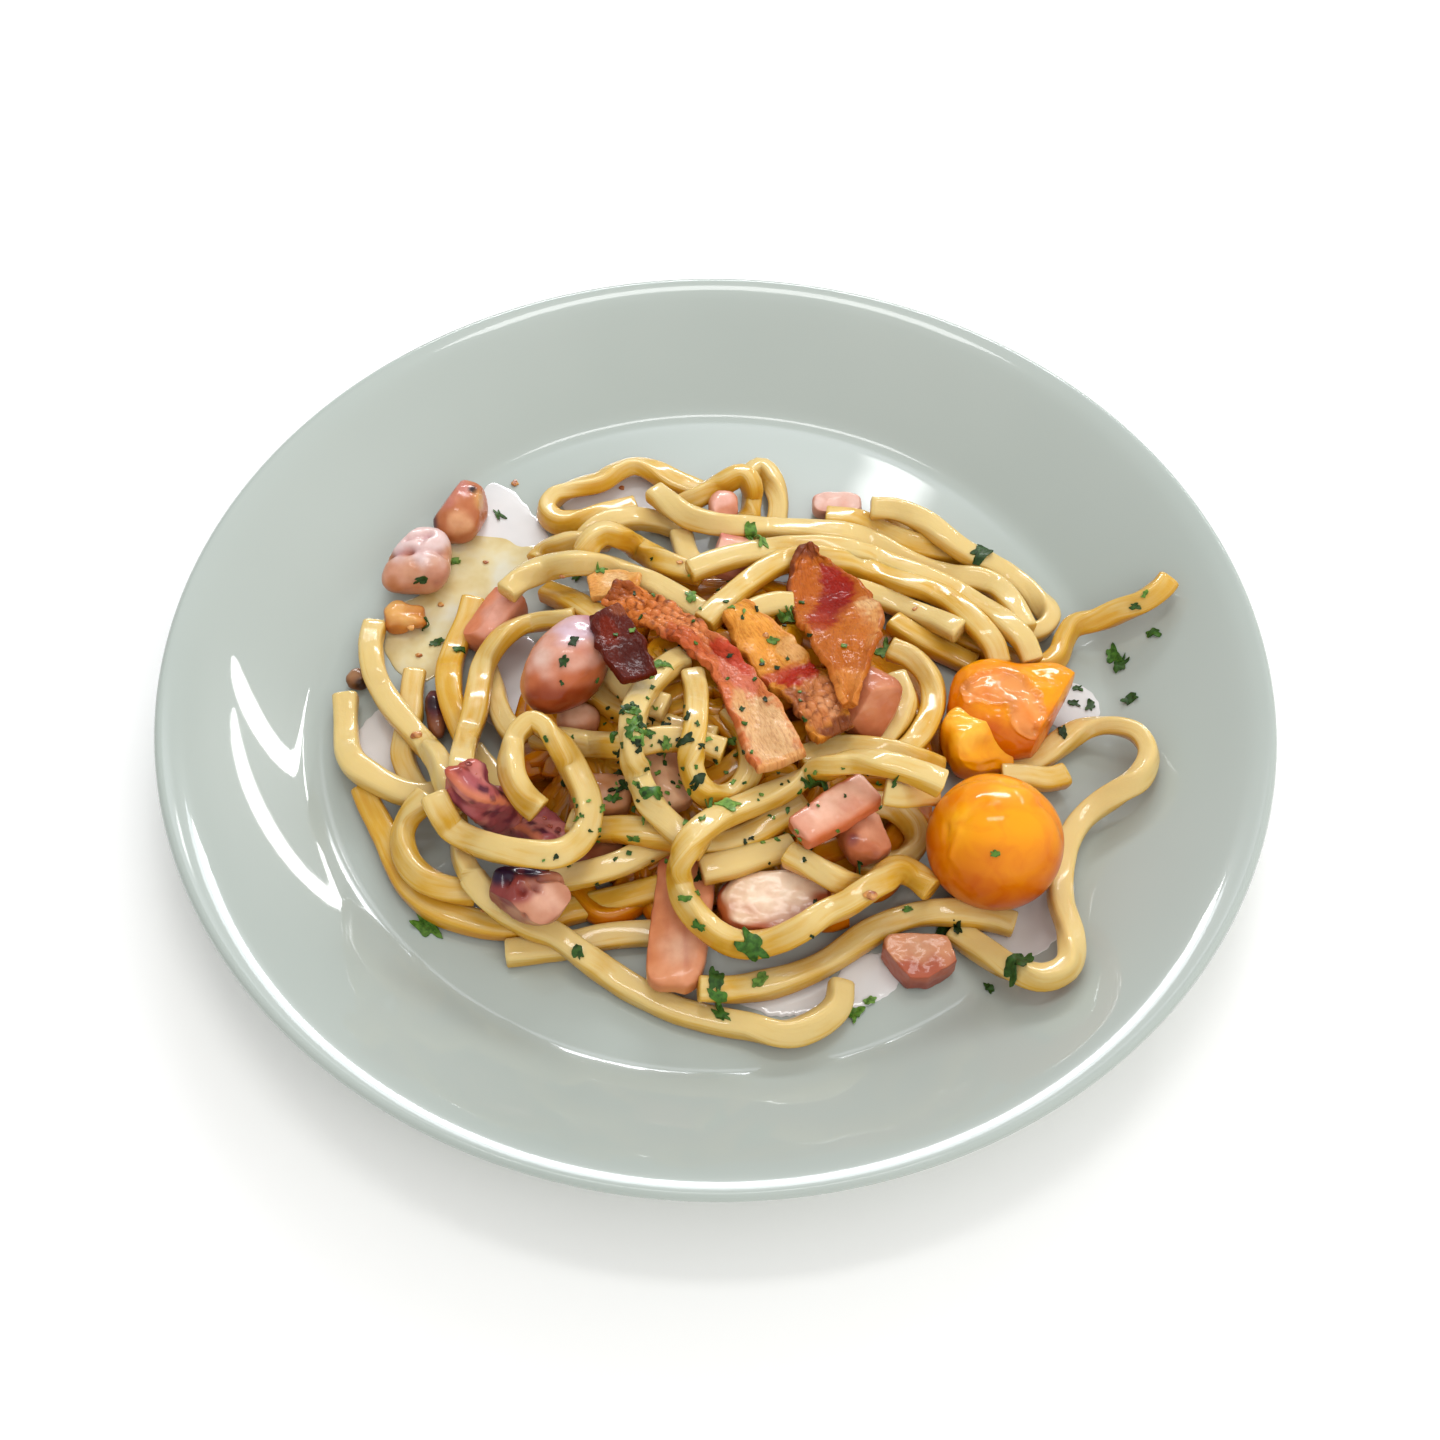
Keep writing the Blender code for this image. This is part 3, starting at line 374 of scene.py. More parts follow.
def coupeTop(radius, well, bend, dish):    # the height of the upper side at a radius
    def climb(r):
        slope = bend * np.logaddexp(0, (r - well) / bend)
        lip = plate["lipBend"] * np.logaddexp(0, (r - plate["lipRadius"]) / plate["lipBend"])
        return slope - plate["lipFlattening"] * lip
    radius = np.asarray(radius, float)
    dished = dish * (np.minimum(radius, well) / well) ** 4
    rise = plate["height"] - plate["floor"] - dish
    return plate["floor"] + dished + rise * climb(radius) / climb(plate["radius"])


def plateTop(radius):    # as in the CAD, where the strands were laid
    return coupeTop(radius, plate["wellRadius"], plate["wellBend"], 0)


def glazeTop(radius):    # as thrown: the well bends more crisply, and its floor rises a little
    return coupeTop(radius, plate["crispRadius"], plate["crispBend"], plate["dish"])


def makePlate():
    radii = [0, 15, 35, 50, 60, 68, 74, 79, 83, 86, 88.5, *np.arange(91, 101.2, 0.3),
             *np.arange(102, 123, 2.1), *np.arange(123, 129, 0.6)]
    top = [(r, float(glazeTop(r))) for r in radii]
    height, edge = plate["height"], plate["radius"]
    nose = [(edge - 0.9, height - 0.45), (edge - 0.3, height - 0.85), (edge, height - 1.5),
            (edge - 0.2, height - 2.3), (edge - 0.8, height - 3.0), (edge - 1.9, height - 3.7)]
    under = [(r, float(plateTop(r)) - plate["wall"]) for r in
             (124, 118, 112, 106, 102, 99, 96, 93, 90, 84)]
    recess = plate["floor"] - plate["wall"]
    outer, inner = plate["footOuter"], plate["footInner"]
    foot = [(outer + 3, recess), (outer + 0.9, recess - 0.15), (outer, 1.2), (outer - 0.4, 0.35),
            (outer - 1.2, 0), (inner + 1.2, 0), (inner + 0.4, 0.35), (inner, 1.2),
            (inner - 0.9, recess - 0.15), (inner - 3, recess), (30, recess), (0, recess)]
    profile = top + nose + under + foot
    mesh = bpy.data.meshes.new("plate_glazed")
    mesh.from_pydata([(r * mm, 0, z * mm) for r, z in profile],
                     [(i, i + 1) for i in range(len(profile) - 1)], [])
    obj = addedObject("plate_glazed", mesh)
    editAll(obj)
    bpy.ops.mesh.spin(steps=plate["turns"], angle=2 * math.pi, center=(0, 0, 0), axis=(0, 0, 1))
    leaveEdit()
    weld(obj, 1e-6)
    return smoothShaded(obj)


glaze = {"colour": "#ABB4AC", "pale": "#AFB7B0", "deep": "#A7B0A9", "roughness": 0.2,
         "bare": "#C9BFAE", "grit": "#B5AA98", "dust": "#D3CABA"}
# a clear glossy glaze over a pale body: even colour with a very soft cloudiness
glazeFinish, tree, shader, spot = newFinish(
    "sage stoneware glaze", glaze["colour"], glaze["roughness"], Specular_IOR_Level=0.12,
    coat=(0.6, 0.02))
clouded(tree, shader, spot, 9, 3, [(0.3, glaze["deep"]), (0.7, glaze["pale"])])
ripple = addNode(tree, "ShaderNodeTexNoise", {"Vector": spot, "Scale": 55})
addNode(tree, "ShaderNodeBump", {"Height": ripple, "Strength": 0.02, "Distance": 1 * mm},
        into=shader["Normal"])
# the bare ring is fired clay: rough, with a fine grit of about half a millimetre
clayFinish, tree, shader, spot = newFinish("bare fired clay", glaze["bare"], 0.85)
grit = clouded(tree, shader, spot, 1600, 2, [(0.35, glaze["grit"]), (0.65, glaze["dust"])])
addNode(tree, "ShaderNodeBump", {"Height": grit, "Strength": 0.3, "Distance": 0.2 * mm},
        into=shader["Normal"])

plateObject = wear(makePlate(), glazeFinish, clayFinish)
for face in plateObject.data.polygons:
    reach = math.hypot(face.center.x, face.center.y) / mm
    if face.center.z < plate["bareBelow"] * mm and plate["footInner"] < reach < plate["footOuter"]:
        face.material_index = 1
hand(plateObject, "plate_glaze", "plate")
print("plate made")


# ---- where everything lies: the same drape as in the CAD source
# Places are in millimetres, as seen on the plate's floor by someone at the eye.

drape = {"eye": (0.0, -248.0, 366.0), "cell": 1.0, "cells": 264, "step": 1.2, "settling": 16,
         "sink": 1.3, "gap": 0.4, "room": 0.6, "edgeRoll": 75.0, "flatBend": 0.03,
         "edgeBend": 0.12, "rollReach": 6.0, "support": 2.0, "bridge": 3.5, "strandStiff": 2.6,
         "ribbonStiff": 6.0}
mound = {"centre": (3.0, -8.0), "reach": (56.0, 52.0), "height": 19.0}


def seenToTrue(seen, z):    # up the line of sight to height z
    seen = np.atleast_2d(np.asarray(seen, float))
    eye = np.array(drape["eye"])
    share = np.reshape((np.asarray(z, float) - plate["floor"]) / (eye[2] - plate["floor"]), (-1, 1))
    return seen + (eye[:2] - seen) * share


def smoothRoute(points, step):    # even points on a smooth line through the given ones
    pts = np.asarray(points, float)
    longer = np.vstack([2 * pts[0] - pts[1], pts, 2 * pts[-1] - pts[-2]])
    run = []
    for a, b, c, d in zip(longer, longer[1:], longer[2:], longer[3:]):
        t = np.linspace(0, 1, 12, endpoint=False)[:, None]
        run.append(0.5 * (2 * b + (c - a) * t + (2 * a - 5 * b + 4 * c - d) * t ** 2
                          + (3 * b - a - 3 * c + d) * t ** 3))
    run = np.vstack(run + [pts[-1:]])
    along = travelled(run)
    return between(np.linspace(0, along[-1], max(4, round(along[-1] / step) + 1)), along, run)


def blur(values, spread):
    reach = int(np.ceil(3 * spread))
    weights = np.exp(-0.5 * (np.arange(-reach, reach + 1) / spread) ** 2)
    padded = np.r_[np.full(reach, values[0]), values, np.full(reach, values[-1])]
    return np.convolve(padded, weights / weights.sum(), "valid")


def widen(values, reach):
    return np.array([values[max(0, i - reach):i + reach + 1].max() for i in range(len(values))])


def grown(grid, radius):
    reach = int(np.ceil(radius / drape["cell"]))
    out = grid.copy()
    for i in range(-reach, reach + 1):
        for j in range(-reach, reach + 1):
            if 0 < math.hypot(i, j) * drape["cell"] <= radius:
                out = np.maximum(out, np.roll(grid, (i, j), (0, 1)))
    return out


def moundTop(x, y):
    rho = ((x - mound["centre"][0]) / mound["reach"][0]) ** 2 + (
        (y - mound["centre"][1]) / mound["reach"][1]) ** 2
    return plate["floor"] + drape["gap"] + mound["height"] * np.clip(1 - rho, 0, 1) ** 0.85


def rollOf(true):    # a strand turns on its edge where it bends tightly
    go = np.gradient(true, axis=0)
    turn = np.gradient(go, axis=0)
    cross = np.abs(go[:, 0] * turn[:, 1] - go[:, 1] * turn[:, 0])
    bend = cross / np.maximum(1e-6, (go ** 2).sum(1)) ** 1.5
    bend = blur(bend, drape["rollReach"] / drape["step"])
    share = np.clip((bend - drape["flatBend"]) / (drape["edgeBend"] - drape["flatBend"]), 0, 1)
    return np.radians(drape["edgeRoll"]) * share


class Pile:
    def __init__(self, lowered=0.0):
        axis = (np.arange(drape["cells"]) - drape["cells"] / 2 + 0.5) * drape["cell"]
        self.start = axis[0]
        self.x, self.y = np.meshgrid(axis, axis, indexing="ij")
        self.other = plateTop(np.hypot(self.x, self.y))
        self.noodle = moundTop(self.x, self.y) - lowered

    def at(self, grid, xy):
        u = np.clip((xy[:, 0] - self.start) / drape["cell"], 0, drape["cells"] - 1.001)
        v = np.clip((xy[:, 1] - self.start) / drape["cell"], 0, drape["cells"] - 1.001)
        i, j = u.astype(int), v.astype(int)
        fu, fv = u - i, v - j
        return (grid[i, j] * (1 - fu) * (1 - fv) + grid[i + 1, j] * fu * (1 - fv)
                + grid[i, j + 1] * (1 - fu) * fv + grid[i + 1, j + 1] * fu * fv)

    def lay(self, seen, width, thickness, fused, stiff=drape["strandStiff"]):
        plan = smoothRoute(seen, drape["step"])
        count = len(plan)
        share = np.linspace(0, 1, count)
        halfW = 0.5 * np.broadcast_to(width(share) if callable(width) else width, count)
        halfT = np.full(count, 0.5 * thickness)
        noodle = grown(self.noodle, drape["support"])
        other = grown(self.other, 0.9 * float(halfW.max()))
        z = np.full(count, plate["floor"])
        for _ in range(drape["settling"]):
            true = seenToTrue(plan, z)
            roll = rollOf(true) if fused else np.zeros(count)
            tall = halfW * np.sin(roll) + halfT * np.cos(roll)
            need = np.maximum(self.at(noodle, true) - (drape["sink"] if fused else -drape["room"]),
                              self.at(other, true) + drape["gap"]) + tall
            want = blur(widen(need, round(drape["bridge"] / drape["step"])), stiff / drape["step"])
            z = 0.5 * z + 0.5 * want
        true = seenToTrue(plan, z)
        wide = halfW * np.cos(roll) + halfT * np.sin(roll)
        grid = self.noodle if fused else self.other
        for p, h, a, b in zip(true, z, wide, tall):
            near = np.hypot(self.x - p[0], self.y - p[1])
            inside = near < a
            top = h + b * np.clip(1 - (near[inside] / a) ** 6, 0, 1) ** 0.5
            grid[inside] = np.maximum(grid[inside], top)
        return np.column_stack([true, z]), roll, halfW

    def stamp(self, points):    # a topping's own upper side, and what a strand over it needs
        i = np.round((points[:, 0] - self.start) / drape["cell"]).astype(int)
        j = np.round((points[:, 1] - self.start) / drape["cell"]).astype(int)
        np.maximum.at(self.other, (i, j), points[:, 2] + drape["room"] - drape["gap"])


def surfacePoints(obj):    # points spread over a CAD node's faces
    corners = readPoints(obj)
    obj.data.calc_loop_triangles()
    out = [corners]
    for triangle in obj.data.loop_triangles:
        a, b, c = corners[list(triangle.vertices)]
        longest = max(np.linalg.norm(b - a), np.linalg.norm(c - a))
        n = int(np.clip(longest / drape["cell"], 1, 24)) + 1
        s, t = np.meshgrid(np.linspace(0, 1, n), np.linspace(0, 1, n))
        keep = s + t <= 1.0001
        s, t = s[keep][:, None], t[keep][:, None]
        out.append(a + s * (b - a) + t * (c - a))
    return np.vstack(out)


# in stacking order, lowest first: a strand is its name and route, a topping of the CAD its name
# alone, and a ribbon its name, route, widths along it and thickness
pileOrder = [
    ("left_low", [(-83, -25), (-80, -31), (-76, -38), (-73, -45), (-69, -51.5), (-63, -56.5),
      (-56, -59.3), (-48, -61), (-40, -60), (-33, -57), (-25, -54.5), (-17, -52), (-9, -49.5)]),
    ("front_low", [(-46, -67.5), (-40, -66.7), (-33, -65.5), (-25, -63.3), (-18, -62.3),
      (-11, -62)]),
    ("left_sliver", [(-74.5, 9), (-74.5, 3), (-74, -4), (-74.5, -10), (-74.5, -16), (-72, -22),
      (-69, -27)]),
    "octopus_brown_bit",
    ("left_flat", [(-90.5, 1.5), (-89.5, -6), (-88.3, -13), (-86, -18), (-81, -22), (-75, -25.3),
      (-69, -26.8), (-64, -26)]),
    "octopus_dark_sliver",
    ("left_curl", [(-67.5, -27), (-71, -32), (-72.3, -38), (-70.5, -44), (-66.5, -48.8),
      (-60.5, -51.5), (-54, -52.5)]),
    ("left_shade", [(-58, -14), (-55, -18), (-51, -23), (-47, -27), (-42, -28)]),
    ("left_inner", [(-58, 12), (-55, 5), (-53, -1), (-50.5, -6.5), (-47, -11)]),
    ("back_left_loop", [(-5, 69), (-12, 72.5), (-18, 76.5), (-23, 78), (-28, 75.5), (-32, 72),
      (-39, 69.5), (-44, 66), (-45.5, 61.5), (-42, 57.8), (-36, 58.5), (-29, 61.5), (-22, 63.5)]),
    ("left_rise", [(-62, 31.5), (-63, 25), (-65, 17), (-66, 10), (-65.3, 3), (-63, -4),
      (-60, -11)]),
    ("back_left_b", [(-36, 49), (-34, 54), (-29.5, 58), (-23, 59.5), (-16, 58.5), (-10, 56)]),
    ("back_left_a", [(-47, 44), (-44, 48.5), (-39, 51), (-34, 51.5), (-29, 52.5)]),
    ("back_left_low", [(-44, 35), (-38, 32), (-32, 28), (-27, 24)]),
    ("back_gap_strand", [(-10, 55), (-8, 47), (-5, 42)]),
    "octopus_left_chunk",
    ("back_wave", [(-35, 47), (-33, 52), (-29.5, 54.5), (-25.5, 53), (-21, 49.5), (-15, 45.5),
      (-9, 42.5), (-4, 41)]),
    ("back_left_wide", [(-54, 34), (-50, 39), (-44, 42.5), (-37, 44.3), (-30, 43.5), (-24, 41),
      (-17, 37.5), (-10, 33), (-4, 28.5)]),
    ("right_outer", [(54, -60), (59, -64), (66, -69), (73, -71.5), (79, -68.5), (80.5, -61),
      (79, -52), (80, -43), (83, -35), (88, -28.5), (95, -23), (101, -18.5), (104, -12), (102, -6),
      (96, -3.8), (89, -5), (83, -9), (78, -13.5), (73, -17), (66, -18)]),
    ("right_stub", [(68, -19), (74, -19), (79, -19.5), (83, -18.5)]),
    ("right_tail", [(56, 25), (64, 20.5), (71, 16.5), (76, 14.5), (81, 13.5), (85, 17), (87, 22),
      (90, 26.5), (96, 28.5), (102, 31.5), (108, 34.5), (113, 38.5), (115.5, 41.5)]),
    ("back_right_c", [(44, 64), (48, 60), (50.5, 55)]),
    "octopus_back_slab",
    ("back_right_b", [(28, 61), (36, 60), (43, 56), (50, 52.5), (58, 50), (65, 48)]),
    ("back_right_a", [(40, 64.5), (47, 64), (54, 60), (59, 55), (64, 50), (70, 46), (76, 41),
      (81, 35), (84, 29.5), (81.5, 25), (76, 23.5), (71, 25)]),
    ("back_arch_b", [(7, 74), (11, 77.5), (14, 73.5), (15.5, 66), (15, 59), (14, 54)]),
    ("back_arch_a", [(-11, 63.5), (-6, 67), (0, 71.5), (5, 75), (8, 73), (8.5, 66), (7.5, 59.5)]),
    "octopus_back_bit",
    ("back_long_a", [(-17.5, 69), (-13, 64.5), (-8, 60.5), (0, 58), (8, 57), (16, 56.5), (25, 56),
      (34, 54.8), (41, 52), (47, 48), (53, 44), (60, 41.5), (67, 40.8), (72, 37.5), (75.5, 31),
      (77.5, 25)]),
    ("middle_short", [(6, 27), (10, 30), (15, 32), (19, 32)]),
    ("back_dark", [(44, 27), (50, 22), (57, 17.5), (64, 13.5)]),
    "octopus_back_middle",
    ("back_long_b", [(-7.5, 42), (-2, 44.8), (6, 47.8), (14, 50), (23, 51), (31, 50.5), (38, 48.5),
      (45, 45), (52, 41.8), (59, 38), (66, 32.5), (72, 27.5), (76.5, 22), (78.5, 15)]),
    ("back_long_c", [(-3.5, 25.5), (1, 31), (6, 37), (11, 42), (17, 46), (25, 47.5), (33, 45.8),
      (40, 42.5), (47, 39.5), (54, 37), (60, 33), (65, 27), (69, 20), (70, 14)]),
    ("back_thick", [(22, 40), (33, 37.5), (41, 34.5), (49, 30.5), (56, 27), (61, 24)]),
    ("right_inner_b", [(44, 10), (46, 3), (44, -3), (40, -9), (37, -14)]),
    ("right_inner_a", [(43, 18.5), (48.5, 15.5), (52.5, 9.5), (53, 2), (50.5, -5), (46.5, -11),
      (42, -15)]),
    "octopus_cut_end",
    ("left_long", [(-86, 23.5), (-86.3, 17), (-84.5, 9), (-81, 2), (-76, -5), (-70.5, -11.5),
      (-66.5, -16.5), (-64, -22), (-61.5, -29), (-59.5, -36), (-58, -43), (-54, -50), (-48, -56),
      (-41, -60.5), (-35, -63), (-29, -67.5), (-23, -72), (-16, -76.5), (-8, -80.5), (0, -82.8),
      (8, -84.3), (16, -86), (23, -83.5), (27.5, -79), (28.5, -73.5)]),
    ("tall_arch", [(-36, 27), (-38, 26.5), (-44, 25.3), (-50, 23.5), (-54.5, 19), (-57.5, 12),
      (-58.3, 5), (-58.7, -3), (-60, -11), (-60.5, -18), (-60, -24)]),
    ("behind_a", [(-34, 9), (-29, 3.5), (-24, -1), (-18, -4), (-12, -6), (-7, -8), (0, -10)]),
    ("behind_b", [(-30, 14), (-26, 9.5), (-22, 5), (-17, 1), (-12, -1)]),
    "octopus_small_bean", "octopus_dark_slice",
    ("low_arc", [(-37, -49), (-30, -47.3), (-22, -44.5), (-15, -40.5), (-10, -38)]),
    "octopus_side_slab", "octopus_long_chunk", "octopus_head", "octopus_front_strip",
    ("middle_left", [(-44, -9.5), (-37, -10.5), (-30, -11.5), (-22, -11.5), (-14, -10), (-6, -10),
      (2, -13)]),
    ("low_cross", [(-34, -33), (-28, -35), (-20, -35.3), (-12, -36.5), (-5, -38.5), (2, -38.8),
      (9, -36), (15, -31.5), (21, -27)]),
    ("behind_slice", [(-3, -46), (4, -44), (11, -41.5), (18, -39)]),
    ("sprinkled_loop", [(-8, 14.5), (-12.5, 11.5), (-16.5, 6.5), (-19.5, 0), (-20.4, -7),
      (-20, -14), (-18.3, -20.5), (-15.5, -27), (-11.5, -32.5), (-7, -37), (-2, -40)]),
    ("inner_loop", [(-6, 10), (-5, 3), (-5, -4), (-5.7, -11), (-5.7, -18), (-3.5, -23.5),
      (0.5, -26), (5, -24), (8, -19), (8.5, -13), (7, -7), (3, -1)]),
    "octopus_round_slice",
    ("right_ring", [(37, -27), (42, -28), (46, -32), (47, -37), (44, -41.5), (38, -43.5),
      (33, -43)]),
    ("cut_stub", [(17, -41), (23, -44.5), (29, -48), (34, -50.5)]),
    "octopus_sucker_chunk",
    ("octopus_pink_bar", [(19, -36), (24, -32.5), (30, -28), (37, -23)], (8, 9.5, 9), 5.5),
    ("right_cross_b", [(40, -23.7), (45, -24.6), (52, -24)]),
    ("right_cross_a", [(20, -15), (25, -13), (29.5, -11.6), (36, -11.6), (43, -12.5), (47.4, -14.3),
      (53, -17)]),
    "octopus_front_chunk",
    ("front_flat", [(-3, -75.5), (5, -75.5), (13, -74), (20, -71.5), (27, -67.5), (34, -62),
      (41, -58), (48, -56), (56, -55.6), (63, -56.8), (68, -58.5)]),
    ("big_loop", [(54, -21.5), (49.7, -19.2), (43, -16.5), (36, -15.2), (30, -16), (23, -19),
      (16.5, -23.4), (10.8, -26.4), (4.7, -29.5), (-0.5, -32.5), (-4.4, -36.5), (-7, -41.3),
      (-7.9, -46.5), (-7, -52.2), (-4, -57.4), (0.4, -61.7), (5.6, -64.4), (12, -64), (18.7, -61),
      (25, -56.5), (30, -54), (34, -51), (38.5, -47.5), (42, -44.8), (46, -46), (50, -50)]),
    ("octopus_charred_arm", [(-62, -19), (-58, -23.5), (-53, -28.5), (-47, -32.5), (-41, -36),
      (-36, -40)], (7, 9.5, 10, 9, 7), 7),
    "octopus_charred_foot",
    ("left_loop", [(-66, -27), (-64, -31), (-61, -35.5), (-56, -38.8), (-49, -41), (-42, -42),
      (-36, -41.8), (-31.5, -38.5), (-29.5, -33), (-30, -27), (-33, -20), (-37, -12.5), (-41, -7.5),
      (-44.5, -5.5), (-48, -9), (-49, -15), (-48, -21), (-45, -26.5), (-41, -30.5)]),
    "octopus_tip", "octopus_knob", "tomato_bit",
    ("bacon_dark", [(-29, 29), (-25, 21), (-22, 14), (-19, 8)], (8, 11, 9), 3),
    ("bacon_clear", [(-33, 36), (-27, 37.5), (-20, 38)], (7, 9, 7), 2.6),
    ("bacon_pale", [(4, 31), (8, 25), (13, 17), (18, 10), (24, 3), (29, -8)], (7, 12, 12, 10, 10),
      3),
    ("bacon_diamond", [(23, 52), (23.5, 46), (25.5, 38), (31, 27), (32, 17), (32.5, 8), (32.5, 1)],
      (2.5, 12, 19, 21, 14, 8, 3), 2.8),
    ("bacon_strip", [(-28, 35), (-22, 32), (-16, 28), (-8, 23), (-1, 16), (5, 8), (9.5, -2),
      (13, -10), (16, -16.5)], (9, 10.5, 9, 8.5, 10, 11, 11), 3.4),
]


# ---- pasta: fat square strands of boiled semolina dough

pasta = {"width": 6.5, "thickness": 4.8, "drawn": (5.9, 4.6), "squareness": 4.0, "sides": 20,
         "softEnd": 0.3, "softScale": 0.9, "sizes": (0.95, 1.05), "swell": 0.045, "swellSize": 16,
         "twist": 0.16, "twistSize": 30, "dent": 0.35, "dentSize": 7.0, "smoothAngle": 50,
         "tone": 0.35, "toneSpread": 0.3, "paintedTopLight": 0.27, "paintedLightHigh": 0.14, "paintedShadeOffset": 0.2,
         "lowAt": 8, "highAt": 34}
# filler strands: steps in millimetres, turns in radians for each of them, reach as a share of
# the mound's
filler = {"count": 30, "lowered": 5.6, "spread": 0.8, "step": 6, "steps": (9, 20),
          "turning": 0.05, "carried": 0.8, "wander": 0.022, "turnsBack": 0.72,
          "backTurn": 0.09, "cutOff": 0.88, "fewest": 5, "below": 0.9, "lowest": 3.0,
          "roll": 0.4}
coreShape = {"reach": 0.93, "below": 7.5, "floor": 1.0, "under": 0.5}


def sweep(name, centres, rolls, sizes, squareness, sides, scale):
    # a section drawn once, run along the route as a curve's bevel, and made a mesh
    ring = bpy.data.curves.new("section", "CURVE")
    outline = ring.splines.new("POLY")
    outline.points.add(sides - 1)
    for k, point in enumerate(outline.points):
        a = 2 * math.pi * (k + 0.5) / sides
        c, s = math.cos(a), math.sin(a)
        point.co = (math.copysign(abs(c) ** (2 / squareness), c) * sizes[0] * mm / 2,
                    math.copysign(abs(s) ** (2 / squareness), s) * sizes[1] * mm / 2, 0, 1)
    outline.use_cyclic_u = True
    ringObject = addedObject("section", ring)
    run = bpy.data.curves.new(name, "CURVE")
    run.dimensions = "3D"
    run.twist_mode = "Z_UP"
    run.bevel_mode = "OBJECT"
    run.bevel_object = ringObject
    run.use_fill_caps = True
    # a point close to each end, so that the rounding there is short
    soft = [end + (beside - end) * pasta["softEnd"] / np.linalg.norm(beside - end)
            for end, beside in ((centres[0], centres[1]), (centres[-1], centres[-2]))]
    centres = np.vstack([centres[:1], soft[:1], centres[1:-1], soft[1:], centres[-1:]])
    rolls = np.r_[rolls[0], rolls, rolls[-1]]
    scale = np.r_[scale[0] * pasta["softScale"], scale, scale[-1] * pasta["softScale"]]
    line = run.splines.new("POLY")
    line.points.add(len(centres) - 1)
    for point, place, roll, size in zip(line.points, centres, rolls, scale):
        point.co = (*(place * mm), 1)
        point.tilt, point.radius = roll, size
    pick(addedObject(name, run))
    bpy.ops.object.convert(target="MESH")
    bpy.data.objects.remove(ringObject)
    obj = named(name)
    drawn = KDTree(len(centres) * sides)    # the points in order, ring after ring
    for number, point in enumerate(obj.data.vertices[:len(centres) * sides]):
        drawn.insert(point.co, number)
    drawn.balance()
    weld(obj, 1e-7)    # the end faces come with points of their own
    along = travelled(centres)
    index = np.array([drawn.find(point.co)[1] for point in obj.data.vertices])
    ringOf, angle = index // sides, 2 * math.pi * (index % sides + 0.5) / sides
    mark(obj, "grain",    # along and round the strand, for patterns
         np.column_stack([along[ringOf], np.cos(angle) * 3, np.sin(angle) * 3]))
    return obj, along[ringOf] / along[-1], angle


def strand(name, centres, rolls, seed, tone):
    picker = np.random.default_rng(seed)
    run = np.linspace(0, 1, len(centres))[:, None] * len(centres) * drape["step"]
    wobble = waves(run, pasta["swellSize"], seed, 4)
    scale = picker.uniform(*pasta["sizes"]) * (1 + pasta["swell"] * wobble)
    rolls = rolls + pasta["twist"] * waves(run, pasta["twistSize"], seed + 1, 3)
    obj, _, _ = sweep(name, centres, rolls, pasta["drawn"], pasta["squareness"], pasta["sides"],
                      scale)
    mark(obj, "tone", np.full(len(obj.data.vertices), tone))
    return obj


pile = Pile()
strands, ribbons = [], {}
for number, layer in enumerate(pileOrder):
    if isinstance(layer, str):
        pile.stamp(surfacePoints(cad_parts[layer]))
    elif len(layer) == 4:
        name, route, widths, thickness = layer
        knots = np.linspace(0, 1, len(widths))
        centres, rolls, halfW = pile.lay(route, lambda s: np.interp(s, knots, widths), thickness,
                                         fused=False, stiff=drape["ribbonStiff"])
        ribbons[name] = (centres, halfW, thickness)
    else:
        name, route = layer
        centres, rolls, _ = pile.lay(route, pasta["width"], pasta["thickness"], fused=True)
        tone = pasta["tone"] + pasta["toneSpread"] * ((number * 7) % 10) / 9
        strands.append(strand(name, centres, rolls, number, tone))
print("strands laid:", len(strands))

# strands in the depth of the heap, so that the gaps show pasta all the way down
picker = np.random.default_rng(5)
under = Pile(filler["lowered"])
heart, reach = np.array(mound["centre"]), mound["reach"]
for number in range(filler["count"]):
    route = [heart + picker.uniform(-filler["spread"], filler["spread"], 2) * reach]
    heading = picker.uniform(0, 2 * math.pi)
    turning = picker.uniform(-filler["turning"], filler["turning"])
    for _ in range(picker.integers(*filler["steps"])):
        turning = filler["carried"] * turning + picker.normal(0, filler["wander"])
        out = (route[-1] - heart) / reach
        if np.hypot(*out) > filler["turnsBack"]:
            home = math.atan2(-out[1], -out[0])
            turn = (home - heading + math.pi) % (2 * math.pi) - math.pi
            turning = math.copysign(filler["backTurn"], turn)
        heading += turning * filler["step"]
        route.append(route[-1] + filler["step"] * np.array([math.cos(heading), math.sin(heading)]))
    route = np.array([p for p in route if np.hypot(*((p - heart) / reach)) < filler["cutOff"]])
    if len(route) < filler["fewest"]:
        continue
    centres, rolls, _ = under.lay(route, pasta["width"], pasta["thickness"], fused=True)
    roof = moundTop(centres[:, 0], centres[:, 1]) - 0.5 * pasta["thickness"] + filler["below"]
    centres[:, 2] = np.maximum(np.minimum(centres[:, 2], roof), plate["floor"] + filler["lowest"])
    # painted shade: the deep strands take the lowest tone, darker golden than those on top
    strands.append(strand("under%d" % number, centres, rolls * filler["roll"], 100 + number, 0.0))

